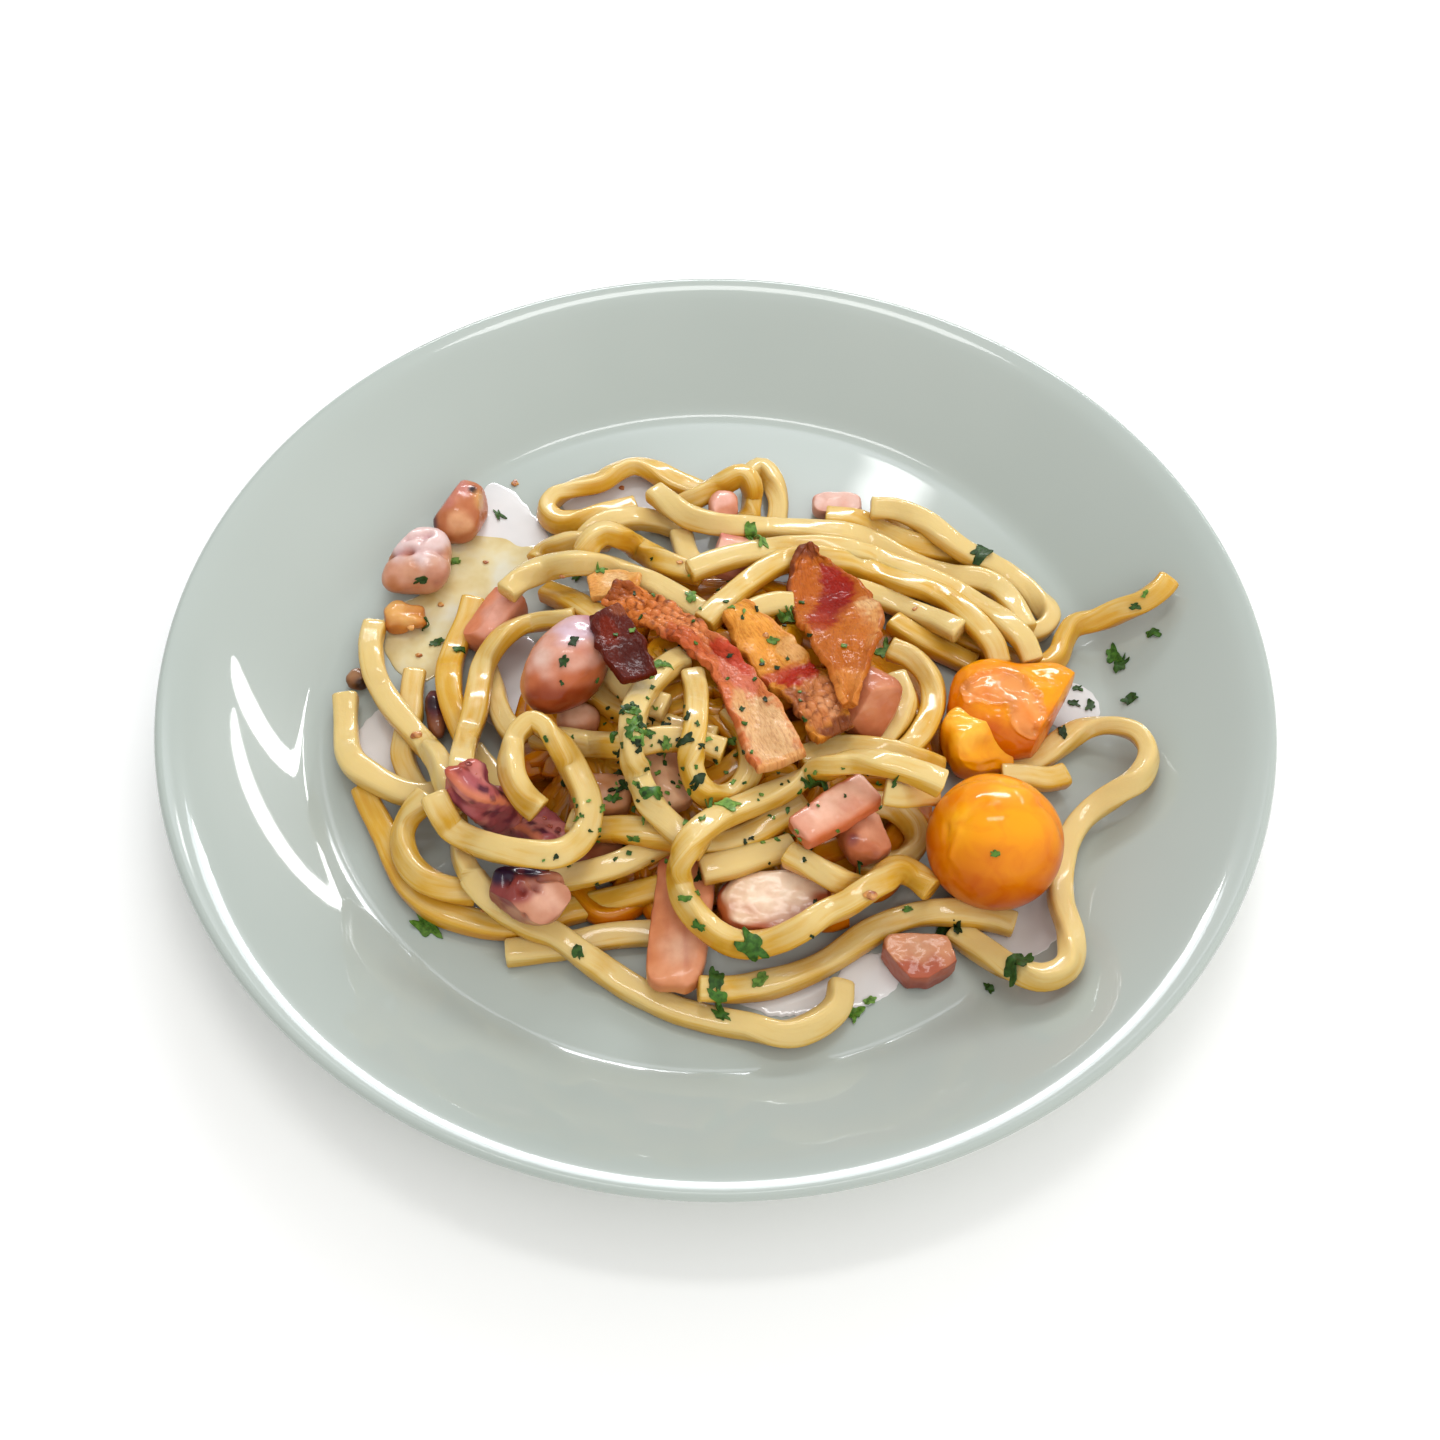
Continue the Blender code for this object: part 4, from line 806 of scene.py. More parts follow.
core, points = started("core", bpy.ops.mesh.primitive_uv_sphere_add, segments=64, ring_count=24)
flat = heart + points[:, :2] * reach * coreShape["reach"]
height = np.where(points[:, 2] > 0.01,
                  np.maximum(moundTop(flat[:, 0], flat[:, 1]) - coreShape["below"],
                             plate["floor"] + coreShape["floor"]),
                  plate["floor"] + coreShape["under"])
writePoints(core, np.column_stack([flat, height]))
mark(core, "grain", np.column_stack([flat, height]))
# painted shade: the core takes the lowest tone, dark golden as in the depth of the heap
mark(core, "tone", np.zeros(len(points)))
noodles = joined("noodle_strands", strands + [core])
roughen(noodles, pasta["dentSize"], pasta["dent"])
finishModifiers(noodles)
smoothShaded(noodles, pasta["smoothAngle"])
for face in noodles.data.polygons:    # the cut ends stay flat
    face.use_smooth = len(face.vertices) <= 4
# painted light and painted shade in the tone: paler where the strands face up and lie high in
# the heap, deeper golden on the sides and low in the heap
count = len(noodles.data.vertices)
tones, facing = np.empty(count), np.empty(count * 3)
noodles.data.attributes["tone"].data.foreach_get("value", tones)
noodles.data.vertices.foreach_get("normal", facing)
high = ease(pasta["lowAt"], pasta["highAt"], readPoints(noodles)[:, 2])
mark(noodles, "tone", tones + (pasta["paintedTopLight"] * facing.reshape(-1, 3)[:, 2]
                               + pasta["paintedLightHigh"] * high - pasta["paintedShadeOffset"]))

# boiled semolina dough: waxy and a little translucent, wet with its starch; its tone carries
# painted light, pale where it faces up and is lit, and painted shade, deeper gold in the heap;
# extrusion leaves faint lengthwise lines
pastaFinish, tree, shader, spot = newFinish(
    "boiled semolina pasta", "#F0D488", 0.36, IOR=1.42, Specular_IOR_Level=0.15,
    glow=(0.3, 0.0022, (1.0, 0.75, 0.35)), coat=(0.65, 0.09))
grain = addNode(tree, "ShaderNodeAttribute", out="Vector", attribute_name="grain")
tone = addNode(tree, "ShaderNodeAttribute", out="Fac", attribute_name="tone")
stretch = addNode(tree, "ShaderNodeMapping", {"Vector": grain, "Scale": (0.06, 1.0, 1.0)})
lines = addNode(tree, "ShaderNodeTexNoise", {"Vector": stretch, "Scale": 1.6, "Detail": 3})
cloud = addNode(tree, "ShaderNodeTexNoise", {"Vector": spot, "Scale": 70, "Detail": 2})
mixed = addNode(tree, "ShaderNodeMath", {0: lines, 1: cloud}, operation="ADD")
level = addNode(tree, "ShaderNodeMath", {0: mixed, 1: 0.42, 2: tone}, operation="MULTIPLY_ADD")
addNode(tree, "ShaderNodeValToRGB", {"Fac": level},
        [(0.3, "#B86000"), (0.55, "#C8850A"), (0.8, "#D2A236"), (1.0, "#DABE7A")],
        shader["Base Color"])
addNode(tree, "ShaderNodeMapRange", {"Value": cloud, "From Min": 0.35, "From Max": 0.65,
                                     "To Min": 0.26, "To Max": 0.46}, into=shader["Roughness"])
pores = addNode(tree, "ShaderNodeTexNoise", {"Vector": spot, "Scale": 420, "Detail": 3})
ridges = addNode(tree, "ShaderNodeBump", {"Height": lines, "Strength": 0.25, "Distance": 0.5 * mm})
addNode(tree, "ShaderNodeBump", {"Height": pores, "Strength": 0.4, "Distance": 0.3 * mm,
                                 "Normal": ridges}, into=shader["Normal"])
hand(wear(noodles, pastaFinish), "pasta", "noodle_heap")
print("pasta made")


# ---- octopus: boiled flesh, white inside, under a skin from pink to deep purple

def block(name, half, blunt, cuts, turn=0):    # a cube cut finely and swollen: blunt 2 is a ball
    obj, _ = started(name, bpy.ops.mesh.primitive_cube_add, size=2)
    editAll(obj)
    bpy.ops.mesh.subdivide(number_cuts=cuts)
    leaveEdit()
    way = unit(readPoints(obj) * mm)
    reach = (np.abs(way) ** blunt).sum(1) ** (-1 / blunt)
    c, s = math.cos(math.radians(turn)), math.sin(math.radians(turn))
    where = (way * reach[:, None] * half) @ np.array([[c, s, 0], [-s, c, 0], [0, 0, 1]])
    return obj, where, unit(where)


def coloured(base, layers, where, size, seed, even=1.0):
    # colours laid over one another: each from a direction or round a spot, with uneven borders
    tint = np.tile(linear(base), (len(where), 1))
    span = np.abs(where).max(0)
    for n, (colour, kind, at, low, high, *amount) in enumerate(layers):
        uneven = even * waves(where, size, seed + n)
        if kind == "side":
            mask = ease(low, high, (where / span) @ np.array(at) + 0.14 * uneven)
        else:
            mask = ease(high, low, np.linalg.norm(where - np.array(at), axis=1)
                        * (1 + 0.18 * uneven))
        tint = over(tint, colour, mask * (amount[0] if amount else 1))
    return tint


def placed(node, half):    # the middle of the CAD's piece
    low, high = (np.array(corner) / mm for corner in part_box(node))
    return np.array([*((low + high) / 2)[:2], high[2] - half[2]])


octopusBits = {
    # half size, turn, bluntness, base colour; flat cuts (direction and distance), swellings
    # (place, radius, height), creases (two places, width, height), and colours over the base:
    # from a side or round a spot, where they begin and are full, and their share
    "octopus_head": {
        "half": (8.8, 13, 8.2), "turn": -32, "blunt": 2.15, "base": "#C06A40",
        "swell": [((-6, -9, 0), 4.5, 1.0), ((4, 9, 3), 5, 0.7)],
        # painted light: the paler top (#D49C86), the lilac reflection (#CFB4C0) and the highlight
        # (#DCC0B2); painted shade: the darker front and underside (#8A3814)
        "layers": [("#D49C86", "side", (0.1, 0.2, 0.95), 0.3, 0.85),
            ("#CFB4C0", "spot", (2, 5, 7.5), 2, 7.5, 0.9),
            ("#DCC0B2", "spot", (-5, -3, 6.5), 1, 4, 0.7),
            ("#B0708A", "spot", (6.5, 9, 4), 1, 6, 0.8),
            ("#64180C", "spot", (9.5, 2, -1), 2, 8, 0.95),
            ("#8A3814", "side", (0.15, -0.95, -0.35), 0.2, 0.8),
            ("#CC8048", "spot", (-9, -6, 1), 1.5, 5, 0.8)]},
    "octopus_left_chunk": {
        "half": (4.8, 9.2, 5.2), "turn": -28, "blunt": 5.0, "base": "#D88660",
        "cuts": [((0.45, 0.9, 0.1), 7.2), ((-0.5, 0.2, 0.8), 4.2)],
        # painted light: the paler top (#DA9C86); painted shade: the darker front side (#BC7248)
        "layers": [("#DA9C86", "side", (0, 0.1, 1), 0.5, 1.0),
            ("#C05A48", "spot", (4, 8, 3), 2, 5.5),
            ("#BC7248", "side", (0.5, -0.8, -0.2), 0.4, 1.0)]},
    "octopus_tip": {
        "half": (6.0, 9.0, 6.0), "turn": -24, "blunt": 2.3, "base": "#B86E44",
        "cuts": [((-0.8, 0.35, 0.5), 5.0), ((0.98, 0, 0.2), 5.6)],
        "swell": [((4, -6, 1), 3.0, 1.2), ((0, 6, 4), 3, 0.7)],
        "creases": [((-5, 1, 4), (4, 3, 5), 0.7, -0.7)],
        "layers": [("#C07A6C", "side", (-0.6, 0.6, 0.4), 0.25, 0.85),
            ("#D69C70", "spot", (1, -7, 4), 2, 5), ("#33262A", "spot", (2.8, 3.5, 5), 0.7, 1.7),
            ("#5E2A2C", "spot", (-6, -4, 1), 1.0, 3.2), ("#D09A5C", "spot", (5, 2, 3), 1, 4)]},
    "octopus_knob": {
        "half": (7.8, 8.6, 6.0), "blunt": 2.3, "base": "#C89270",
        "cuts": [((-0.75, 0.6, 0.25), 6.2)],
        "swell": [((3, 6, 3), 4.5, 1.6), ((-6, -6, 1), 3.6, 2.8), ((5, -4, 2), 3.2, 1.4),
            ((-3, 5, 5), 3.0, 1.2)],
        "creases": [((-9, -1, 2), (-2, -1, 6), 1.3, -1.7), ((-2, -1, 6), (7, 0, 4), 1.1, -1.0),
            ((-3, 3, 6), (3, 5, 6), 0.8, -0.9), ((3, 5, 6), (1, 2, 6), 0.8, -0.8),
            ((0, -4, 5), (5, -7, 1), 1.0, -0.7)],
        # painted light: the whitish top (#E0C8C4); painted shade: the darker front and underside
        # (#C08058)
        "layers": [("#E0C8C4", "side", (0, 0.4, 0.9), 0.3, 0.85),
            ("#CC9478", "side", (-0.6, -0.75, 0.0), 0.3, 0.9),
            ("#C08058", "side", (0, -0.9, -0.4), 0.5, 1.0),
            ("#C88E7A", "spot", (5, -6, 2), 1, 4, 0.7)]},
    "octopus_small_bean": {
        "half": (5.0, 4.4, 3.8), "blunt": 2.2, "base": "#C88A66",
        # painted light: the paler top (#E2B698); painted shade: the darker front and underside
        # (#A4643E)
        "layers": [("#E2B698", "side", (0, 0, 1), 0.4, 1.0),
            ("#A4643E", "side", (0.4, -0.7, -0.3), 0.3, 1)]},
    "octopus_dark_sliver": {
        "half": (2.4, 7.0, 2.4), "turn": 12, "blunt": 2.2, "base": "#5A2A2E",
        "layers": [("#8E5838", "side", (0, -1, 0), 0.1, 0.8),
            ("#30181E", "spot", (0, 2, 2), 1, 3)]},
    "octopus_brown_bit": {
        "half": (3.0, 2.8, 2.2), "blunt": 2.2, "base": "#7C5230",
        # painted light: the paler top (#A07450)
        "layers": [("#A07450", "side", (0, 0.3, 0.9), 0.2, 0.9),
            ("#3E2A20", "spot", (1, -2, 1), 1, 2.4)]},
    "octopus_back_slab": {
        "half": (6.5, 3.4, 3.0), "blunt": 3.4, "base": "#DFA894",
        "cuts": [((0, -0.2, 1), 2.2)],
        # painted light: the paler top (#E6C6BA)
        "layers": [("#E6C6BA", "side", (0, 0, 1), 0.4, 1.0),
            ("#CC8672", "side", (-0.6, 0.5, 0), 0.4, 1)]},
    "octopus_back_bit": {
        "half": (3.8, 4.5, 3.0), "blunt": 2.8, "base": "#D08A6A",
        "cuts": [((0.3, -0.3, 0.9), 2.3)],
        # painted light: the paler top (#E8B4A4); painted shade: the darker front side (#B46848)
        "layers": [("#E8B4A4", "side", (0, 0, 1), 0.5, 1.0),
            ("#B46848", "side", (0.5, -0.6, 0), 0.3, 1)]},
    "octopus_back_middle": {
        "half": (5.5, 7.5, 3.2), "turn": -18, "blunt": 2.6, "base": "#DE9A80",
        "cuts": [((0.2, 0.6, 0.75), 4.0), ((-0.9, 0.2, 0.3), 4.2)],
        "swell": [((2, 3, 2), 3, 0.8)],
        # painted light: the paler top (#ECB8A0); painted shade: the darker front side (#C07456)
        "layers": [("#ECB8A0", "side", (0, 0.2, 1), 0.4, 1.0),
            ("#D4787A", "spot", (-1, 5, 2), 1, 4.5, 0.8),
            ("#C07456", "side", (0.7, -0.5, 0), 0.3, 1)]},
    "octopus_cut_end": {
        "half": (7.0, 7.6, 6.0), "turn": -30, "blunt": 4.0, "base": "#C27650", "even": 0.5,
        "cuts": [((0.35, -0.75, 0.55), 4.8), ((-0.5, -0.3, 0.8), 5.0)],
        "layers": [("#D8966C", "side", (0.3, -0.7, 0.6), 0.5, 0.9),
            ("#C47A58", "side", (-0.5, -0.1, 0.85), 0.7, 1.05),
            ("#B0653F", "side", (0.9, 0.2, 0.1), 0.6, 1.1),
            # painted shade: the darker front and underside (#A05C38)
            ("#A05C38", "side", (-0.3, -0.9, -0.5), 0.5, 1),
            ("#ECC8AA", "spot", (0, -5, 5), 0.5, 1.8)]},
    "octopus_round_slice": {
        "half": (12.6, 7.6, 4.6), "turn": 4, "blunt": 2.7, "base": "#B05E38", "even": 0.35,
        "cuts": [((0.05, -0.12, 0.99), 2.9)],
        "layers": [("#EACDAE", "side", (0, 0.02, 1.0), 0.5, 0.62),
            ("#F2DCC2", "spot", (1, 1, 3), 3, 9, 0.8), ("#5C2A2A", "spot", (-6, 7, 1), 1, 3.5),
            ("#B8642F", "spot", (-11, -3, 0), 2, 4.5),
            # painted shade: the darker front and underside (#A8583A)
            ("#A8583A", "side", (0.3, -1, -0.4), 0.8, 1.2, 0.7)]},
    "octopus_dark_slice": {
        "half": (8.0, 4.0, 2.6), "turn": 10, "blunt": 2.4, "base": "#9A5638",
        # painted light: the paler top (#B87A50); painted shade: the darker front (#743426)
        "layers": [("#743426", "side", (0, -0.9, 0), 0.1, 0.9),
            ("#B87A50", "side", (0, 0.5, 0.8), 0.5, 1.1)]},
    "octopus_side_slab": {
        "half": (7.0, 5.0, 3.4), "blunt": 3.6, "base": "#B98052",
        "cuts": [((0, 0.1, 1), 2.8)],
        # painted light: the paler top (#D2A27C)
        "layers": [("#D2A27C", "side", (0, 0.1, 0.95), 0.5, 0.9),
            ("#A86C48", "side", (-0.2, 0.9, 0), 0.55, 1), ("#8E5C40", "spot", (-5, 3, 2), 1, 3)]},
    "octopus_long_chunk": {
        "half": (4.8, 9.6, 4.0), "turn": 24, "blunt": 3.2, "base": "#B4805A",
        "cuts": [((0.5, 0.1, 0.85), 3.6)],
        # painted light: the paler top (#CBA07A)
        "layers": [("#CBA07A", "side", (0, -0.3, 0.9), 0.4, 1.0),
            ("#A06844", "side", (-0.8, 0.4, 0), 0.3, 1),
            ("#DCB698", "spot", (-1, 8, 3), 0.6, 2.5)]},
    "octopus_front_strip": {
        "half": (6.6, 17.0, 3.4), "turn": -5, "blunt": 4.2, "base": "#CC8050", "even": 0.6,
        "cuts": [((-0.1, 0, 1), 2.8), ((-0.35, 0.94, 0), 15.2), ((0.5, -0.86, 0), 15.4)],
        "swell": [((-5, 13, 2), 2.4, 1.1), ((0, 15, 2), 2.0, -1.2), ((4, 13, 2), 2.4, 1.1),
            ((-6, -14, 0), 3, 0.6)],
        "creases": [((1.5, -13, 3), (0, 12, 3), 0.7, -0.9), ((-3, -6, 3), (-4, 10, 3), 0.6, -0.5)],
        # painted light: the paler top (#DC9870)
        "layers": [("#DC9870", "side", (0.2, -0.3, 0.9), 0.5, 1.0),
            ("#BE7048", "side", (-1, 0.2, 0), 0.72, 1.0),
            ("#C0664A", "spot", (-4, 15, 2), 1, 5, 0.8), ("#BC7450", "side", (1, 0.4, 0), 0.8, 1.1),
            ("#E0B496", "spot", (0, -8, 4), 1, 6, 0.7)]},
    "octopus_front_chunk": {
        "half": (8.0, 5.4, 4.2), "blunt": 5.5, "base": "#AC583C", "even": 0.5,
        "cuts": [((0, -0.1, 1), 3.2), ((-0.8, -0.62, 0), 5.2), ((0.55, -0.84, 0), 5.2),
            ((0.93, 0.36, 0), 7.2)],
        # painted light: the paler top (#CC8C64); painted shade: the darker front and underside
        # (#944A3A)
        "layers": [("#CC8C64", "side", (0, 0.1, 0.98), 0.62, 0.8),
            ("#D0A27E", "spot", (0, 2, 4), 1, 5, 0.6),
            ("#944A3A", "side", (0.2, -0.8, -0.6), 0.5, 1.0)]},
    "octopus_sucker_chunk": {
        "half": (5.6, 5.6, 4.6), "turn": 15, "blunt": 3.2, "base": "#C07048",
        "cuts": [((0.5, 0.1, 0.85), 4.0), ((0.9, 0.3, 0), 4.6)],
        "swell": [((-3, -2, 3), 1.5, 1.2), ((-0.5, -4, 2.4), 1.5, 1.2), ((2, -5, 1.6), 1.3, 1.0),
            ((-3, -2, 4), 0.7, -0.8), ((-0.5, -4, 3.4), 0.7, -0.8)],
        # painted light: the paler top (#E4A684)
        "layers": [("#E4A684", "side", (0.5, 0.3, 0.8), 0.4, 0.95),
            ("#602038", "spot", (-3, -2, 3), 0.8, 2.2),
            ("#6A2438", "spot", (-0.5, -4, 2.4), 0.7, 1.9),
            ("#4C1E38", "spot", (2, -5, 1.6), 0.7, 1.9)]},
    "octopus_charred_foot": {
        "half": (8.4, 6.2, 4.2), "turn": -14, "blunt": 2.5, "base": "#C08466",
        "cuts": [((-0.6, -0.8, 0), 5.0), ((0.3, -0.35, 0.9), 4.6)],
        "swell": [((7, -1, 2), 2.4, 2.2), ((3, -5, 2), 2.4, 2.2), ((-2, -4, 3), 2.2, 1.4),
            ((6, 4, 2), 2, 1.2), ((-6, 4, 3), 2.2, 1.2)],
        "creases": [((1, 1, 5), (6, -4, 2), 0.8, -1.8), ((-1, 0, 5), (0, -6, 2), 0.8, -1.6),
            ((3, 2, 4), (8, 2, 2), 0.7, -1.3), ((-4, 2, 4), (-5, -3, 2), 0.8, -1.4),
            ((-2, 4, 4), (4, 5, 3), 0.8, -1.0)],
        "layers": [("#E0AE94", "spot", (4.5, -3, 4), 1.5, 5.5),
            ("#A84E48", "spot", (-1, -2, 4), 0.8, 3, 0.8),
            ("#8A3E3A", "side", (-0.8, 0.6, 0.1), -0.3, 0.3),
            ("#2C1A34", "spot", (-6, 4, 3), 2, 4.6), ("#2E1838", "spot", (1, 4, 3), 1, 2.8),
            # painted shade: the darker front and underside (#9E5C40)
            ("#9E5C40", "side", (0, -1, -0.3), 0.6, 1.1)]},
}

# boiled octopus: smooth moist flesh with fine wrinkles in the skin, some light goes in
octopusFinish, tree, shader, spot = newFinish(
    "boiled octopus skin and flesh", "#D39A88", 0.38, IOR=1.38, Specular_IOR_Level=0.15,
    glow=(0.12, 0.001, (1.0, 0.5, 0.4)), coat=(0.42, 0.11))
mottle = addNode(tree, "ShaderNodeTexNoise", {"Vector": spot, "Scale": 300, "Detail": 4})
mottled(tree, shader, mottle, 0.45, [(0.3, "#E4C8B8"), (0.6, "#FFFFFF")])
folds = addNode(tree, "ShaderNodeTexNoise", {"Vector": spot, "Scale": 170, "Detail": 2})
wrinkle = addNode(tree, "ShaderNodeTexNoise", {"Vector": spot, "Scale": 650, "Detail": 3,
                                               "Distortion": 0.6})
low = addNode(tree, "ShaderNodeBump", {"Height": folds, "Strength": 0.2, "Distance": 0.6 * mm})
addNode(tree, "ShaderNodeBump", {"Height": wrinkle, "Strength": 0.14, "Distance": 0.25 * mm,
                                 "Normal": low}, into=shader["Normal"])

flesh = {"fineOver": 6.2, "fine": 26, "plain": 18, "lumps": 0.03, "flatness": 0.94,
         "uneven": (2.4, 0.35), "foldShade": (0.18, 0.32, 0.30), "deepest": 1.5, "patches": 3.0}
darkBits = ("octopus_tip", "octopus_dark_sliver", "octopus_brown_bit", "octopus_sucker_chunk",
            "octopus_dark_slice", "octopus_charred_foot")

for number, (node, bit) in enumerate(octopusBits.items()):
    half = np.array(bit["half"], float)
    cuts = flesh["fine"] if half.max() > flesh["fineOver"] else flesh["plain"]
    obj, where, out = block(node + "_flesh", half, bit["blunt"], cuts, bit.get("turn", 0))
    for at, radius, height in bit.get("swell", ()):
        near = np.linalg.norm(where - np.array(at), axis=1)
        where = where + out * (height * np.exp(-(near / radius) ** 2))[:, None]
    creases = wrinkled(where, bit.get("creases", ()))
    where = where + out * creases[:, None]
    lumps = flesh["lumps"] * half.min() * waves(where, 0.7 * half.min(), number)
    where = where + out * lumps[:, None]
    for way, distance in bit.get("cuts", ()):
        way = np.array(way) / np.linalg.norm(way)
        past = np.maximum(where @ way - distance, 0)
        where = where - np.outer(past * flesh["flatness"], way)
    writePoints(obj, where + placed(node, half))
    tint = coloured(bit["base"], bit["layers"], where, flesh["patches"], number * 10,
                    bit.get("even", 1))
    deep = np.clip(-creases, 0, flesh["deepest"])[:, None]    # painted shade: darker and redder down in the folds
    paint(obj, tint * (1 - deep * flesh["foldShade"]))
    finished(obj, octopusFinish, "octopus_dark" if node in darkBits else "octopus", node,
             uneven=flesh["uneven"])
print("octopus bits made:", len(octopusBits))


# ---- octopus arm with its row of suckers, and the pink bar

arm = {"squareness": 2.2, "sides": 48, "suckers": 13, "suckerSize": 0.62, "finer": 0.4,
       "ridgeAt": math.radians(62), "ridgeWidth": 0.2, "marks": 9, "swollen": 1.15,
       "facets": 1.05, "ridge": 0.6, "lumps": 0.2, "bluntEnd": 0.05, "uneven": (1.6, 0.5),
       "skin": "#A8585C", "sucker": "#B86450", "darkSucker": "#8A4038", "firstSucker": 0.08,
       "suckerRun": 0.86, "suckerHeight": 3.3, "zigzag": 0.5, "narrowing": 0.35, "lean": 0.55,
       "suckerRim": 0.42}
bar = {"squareness": 4.2, "sides": 36, "bluntEnd": 0.05, "uneven": (2.6, 0.7), "skin": "#D07040"}


def finer(centres, values, step):    # the same run with closer points
    along = travelled(centres)
    spots = np.linspace(0, along[-1], int(along[-1] / step) + 1)
    return between(spots, along, centres), np.interp(spots, along, values)


def rounded(share, span):    # a blunt end: how wide the piece is near its ends
    near = np.clip(np.minimum(share, 1 - share) / span, 0, 1)
    return np.sqrt(1 - (1 - near) ** 2) * 0.75 + 0.25


def ribbonBar(name, look, swollen=1.0):
    # swept along its ribbon; last come its points, and each one's way out from the middle
    centres, halfW, thickness = ribbons[name]
    centres, halfW = finer(centres, halfW, arm["finer"])
    share = np.linspace(0, 1, len(centres))
    scale = halfW / halfW.max() * rounded(share, look["bluntEnd"]) * swollen
    obj, along, angle = sweep(name + "_flesh", centres, np.zeros(len(centres)),
                              (2 * halfW.max(), thickness), look["squareness"], look["sides"],
                              scale)
    points = readPoints(obj)
    return obj, along, angle, centres, points, points - between(along, share, centres)


obj, along, angle, centres, points, out = ribbonBar("octopus_charred_arm", arm, arm["swollen"])
ridge = np.exp(-((angle - arm["ridgeAt"]) / arm["ridgeWidth"]) ** 2)
faceted = np.cos(3 * (angle - arm["ridgeAt"]))    # three flat sides that meet in the ridge
out /= np.maximum(1e-6, np.linalg.norm(out, axis=1))[:, None]
lift = arm["facets"] * faceted + arm["ridge"] * ridge + arm["lumps"] * waves(points, 2.4, 3)
writePoints(obj, points + out * lift[:, None])
uneven = waves(points, 2.4, 4)
marks = (np.exp(-(((along * arm["marks"]) % 1 - 0.5) / 0.26) ** 2)    # where suckers have come off
         * np.exp(-((angle - arm["ridgeAt"] - 0.36) / 0.13) ** 2))
tint = np.tile(linear(arm["skin"]), (len(points), 1))
for colour, mask in (
        ("#783446", ease(0.0, 0.8, uneven + 1.2 * (0.3 - along)) * 0.85),
        # painted highlight: a pale pink sheen (#D68A80) that grows along the arm
        ("#D68A80", ease(0.3, 1.1, waves(points, 4.0, 8) + 0.8 * (along - 0.3)) * 0.75),
        ("#D27E5C", ease(0.25, 0.75, ridge + 0.1 * uneven)),
        ("#4A1C34", ease(0.25, 0.6, marks) * 0.9),
        ("#5A2434", ease(1.0, 1.4, waves(points, 2.2, 6)) * 0.7),
        ("#B04A34", ease(0.12, 0.02, along))):
    tint = over(tint, colour, mask)
paint(obj, tint)

suckers = []
halfAlong = ribbons["octopus_charred_arm"][1]
for n in range(arm["suckers"]):
    share = arm["firstSucker"] + arm["suckerRun"] * n / (arm["suckers"] - 1)
    i = int(share * (len(centres) - 1))
    ahead = Vector(centres[min(i + 1, len(centres) - 1)] - centres[max(i - 1, 0)]).normalized()
    side = Vector((-ahead.y, ahead.x, 0)).normalized()
    halfW = float(np.interp(share, np.linspace(0, 1, len(halfAlong)), halfAlong))
    back = arm["zigzag"] * (n % 2)
    across = math.cos(arm["ridgeAt"]) * (halfW + 0.5) - back
    place = Vector(centres[i]) + side * across + Vector((0, 0, arm["suckerHeight"] - back))
    size = arm["suckerSize"] * (1 - arm["narrowing"] * share)
    facing = (side * arm["lean"] + Vector((0, 0, 1))).to_track_quat("Z", "Y").to_euler()
    clearSelection()
    bpy.ops.mesh.primitive_torus_add(location=place * mm, rotation=facing, major_segments=18,
                                     minor_segments=8, major_radius=size * mm,
                                     minor_radius=size * arm["suckerRim"] * mm)
    sucker = named("sucker")
    bpy.ops.object.transform_apply(location=True, rotation=True, scale=True)
    colour = linear(arm["sucker"] if n % 3 else arm["darkSucker"])
    paint(sucker, np.tile(colour, (len(sucker.data.vertices), 1)))
    suckers.append(sucker)
finished(joined("octopus_charred_arm_flesh", [obj] + suckers), octopusFinish, "octopus_dark",
         "octopus_charred_arm", uneven=arm["uneven"])

obj, along, angle, _, points, out = ribbonBar("octopus_pink_bar", bar)
far = out[:, 1] / np.abs(out[:, 1]).max()    # from the eye
rightward = (points[:, 0] - points[:, 0].min()) / np.ptp(points[:, 0])
top = np.sin(angle) + 0.1 * waves(points, 3, 2)
tint = np.tile(linear(bar["skin"]), (len(points), 1))
# painted light: the paler top (#F2C4AA) with a nearly white painted highlight on its far part
# (#FAE4DC); painted shade: the near part of the top takes the darker side colour (#D27C52), and the
# underside is darker (#B4603A)
for colour, mask in (
        ("#F2C4AA", ease(0.5, 0.9, top)), ("#FAE4DC", ease(0.5, 0.9, top) * ease(0.1, 0.8, far)),
        ("#D27C52", ease(0.1, -0.5, far) * ease(0.1, 0.6, top)),
        ("#D08068", ease(0.5, 1.1, waves(points, 3.0, 5)) * 0.4),
        ("#B4603A", ease(-0.6, -1.0, np.sin(angle))),
        ("#BC6038", ease(0.4, 0.0, rightward) * 0.7)):
    tint = over(tint, colour, mask)
paint(obj, tint)
finished(obj, octopusFinish, "octopus", "octopus_pink_bar", uneven=bar["uneven"])
print("octopus arm and bar made")


# ---- bacon: thin fried rashers, lean in red bands, fat clear and golden, edges browned

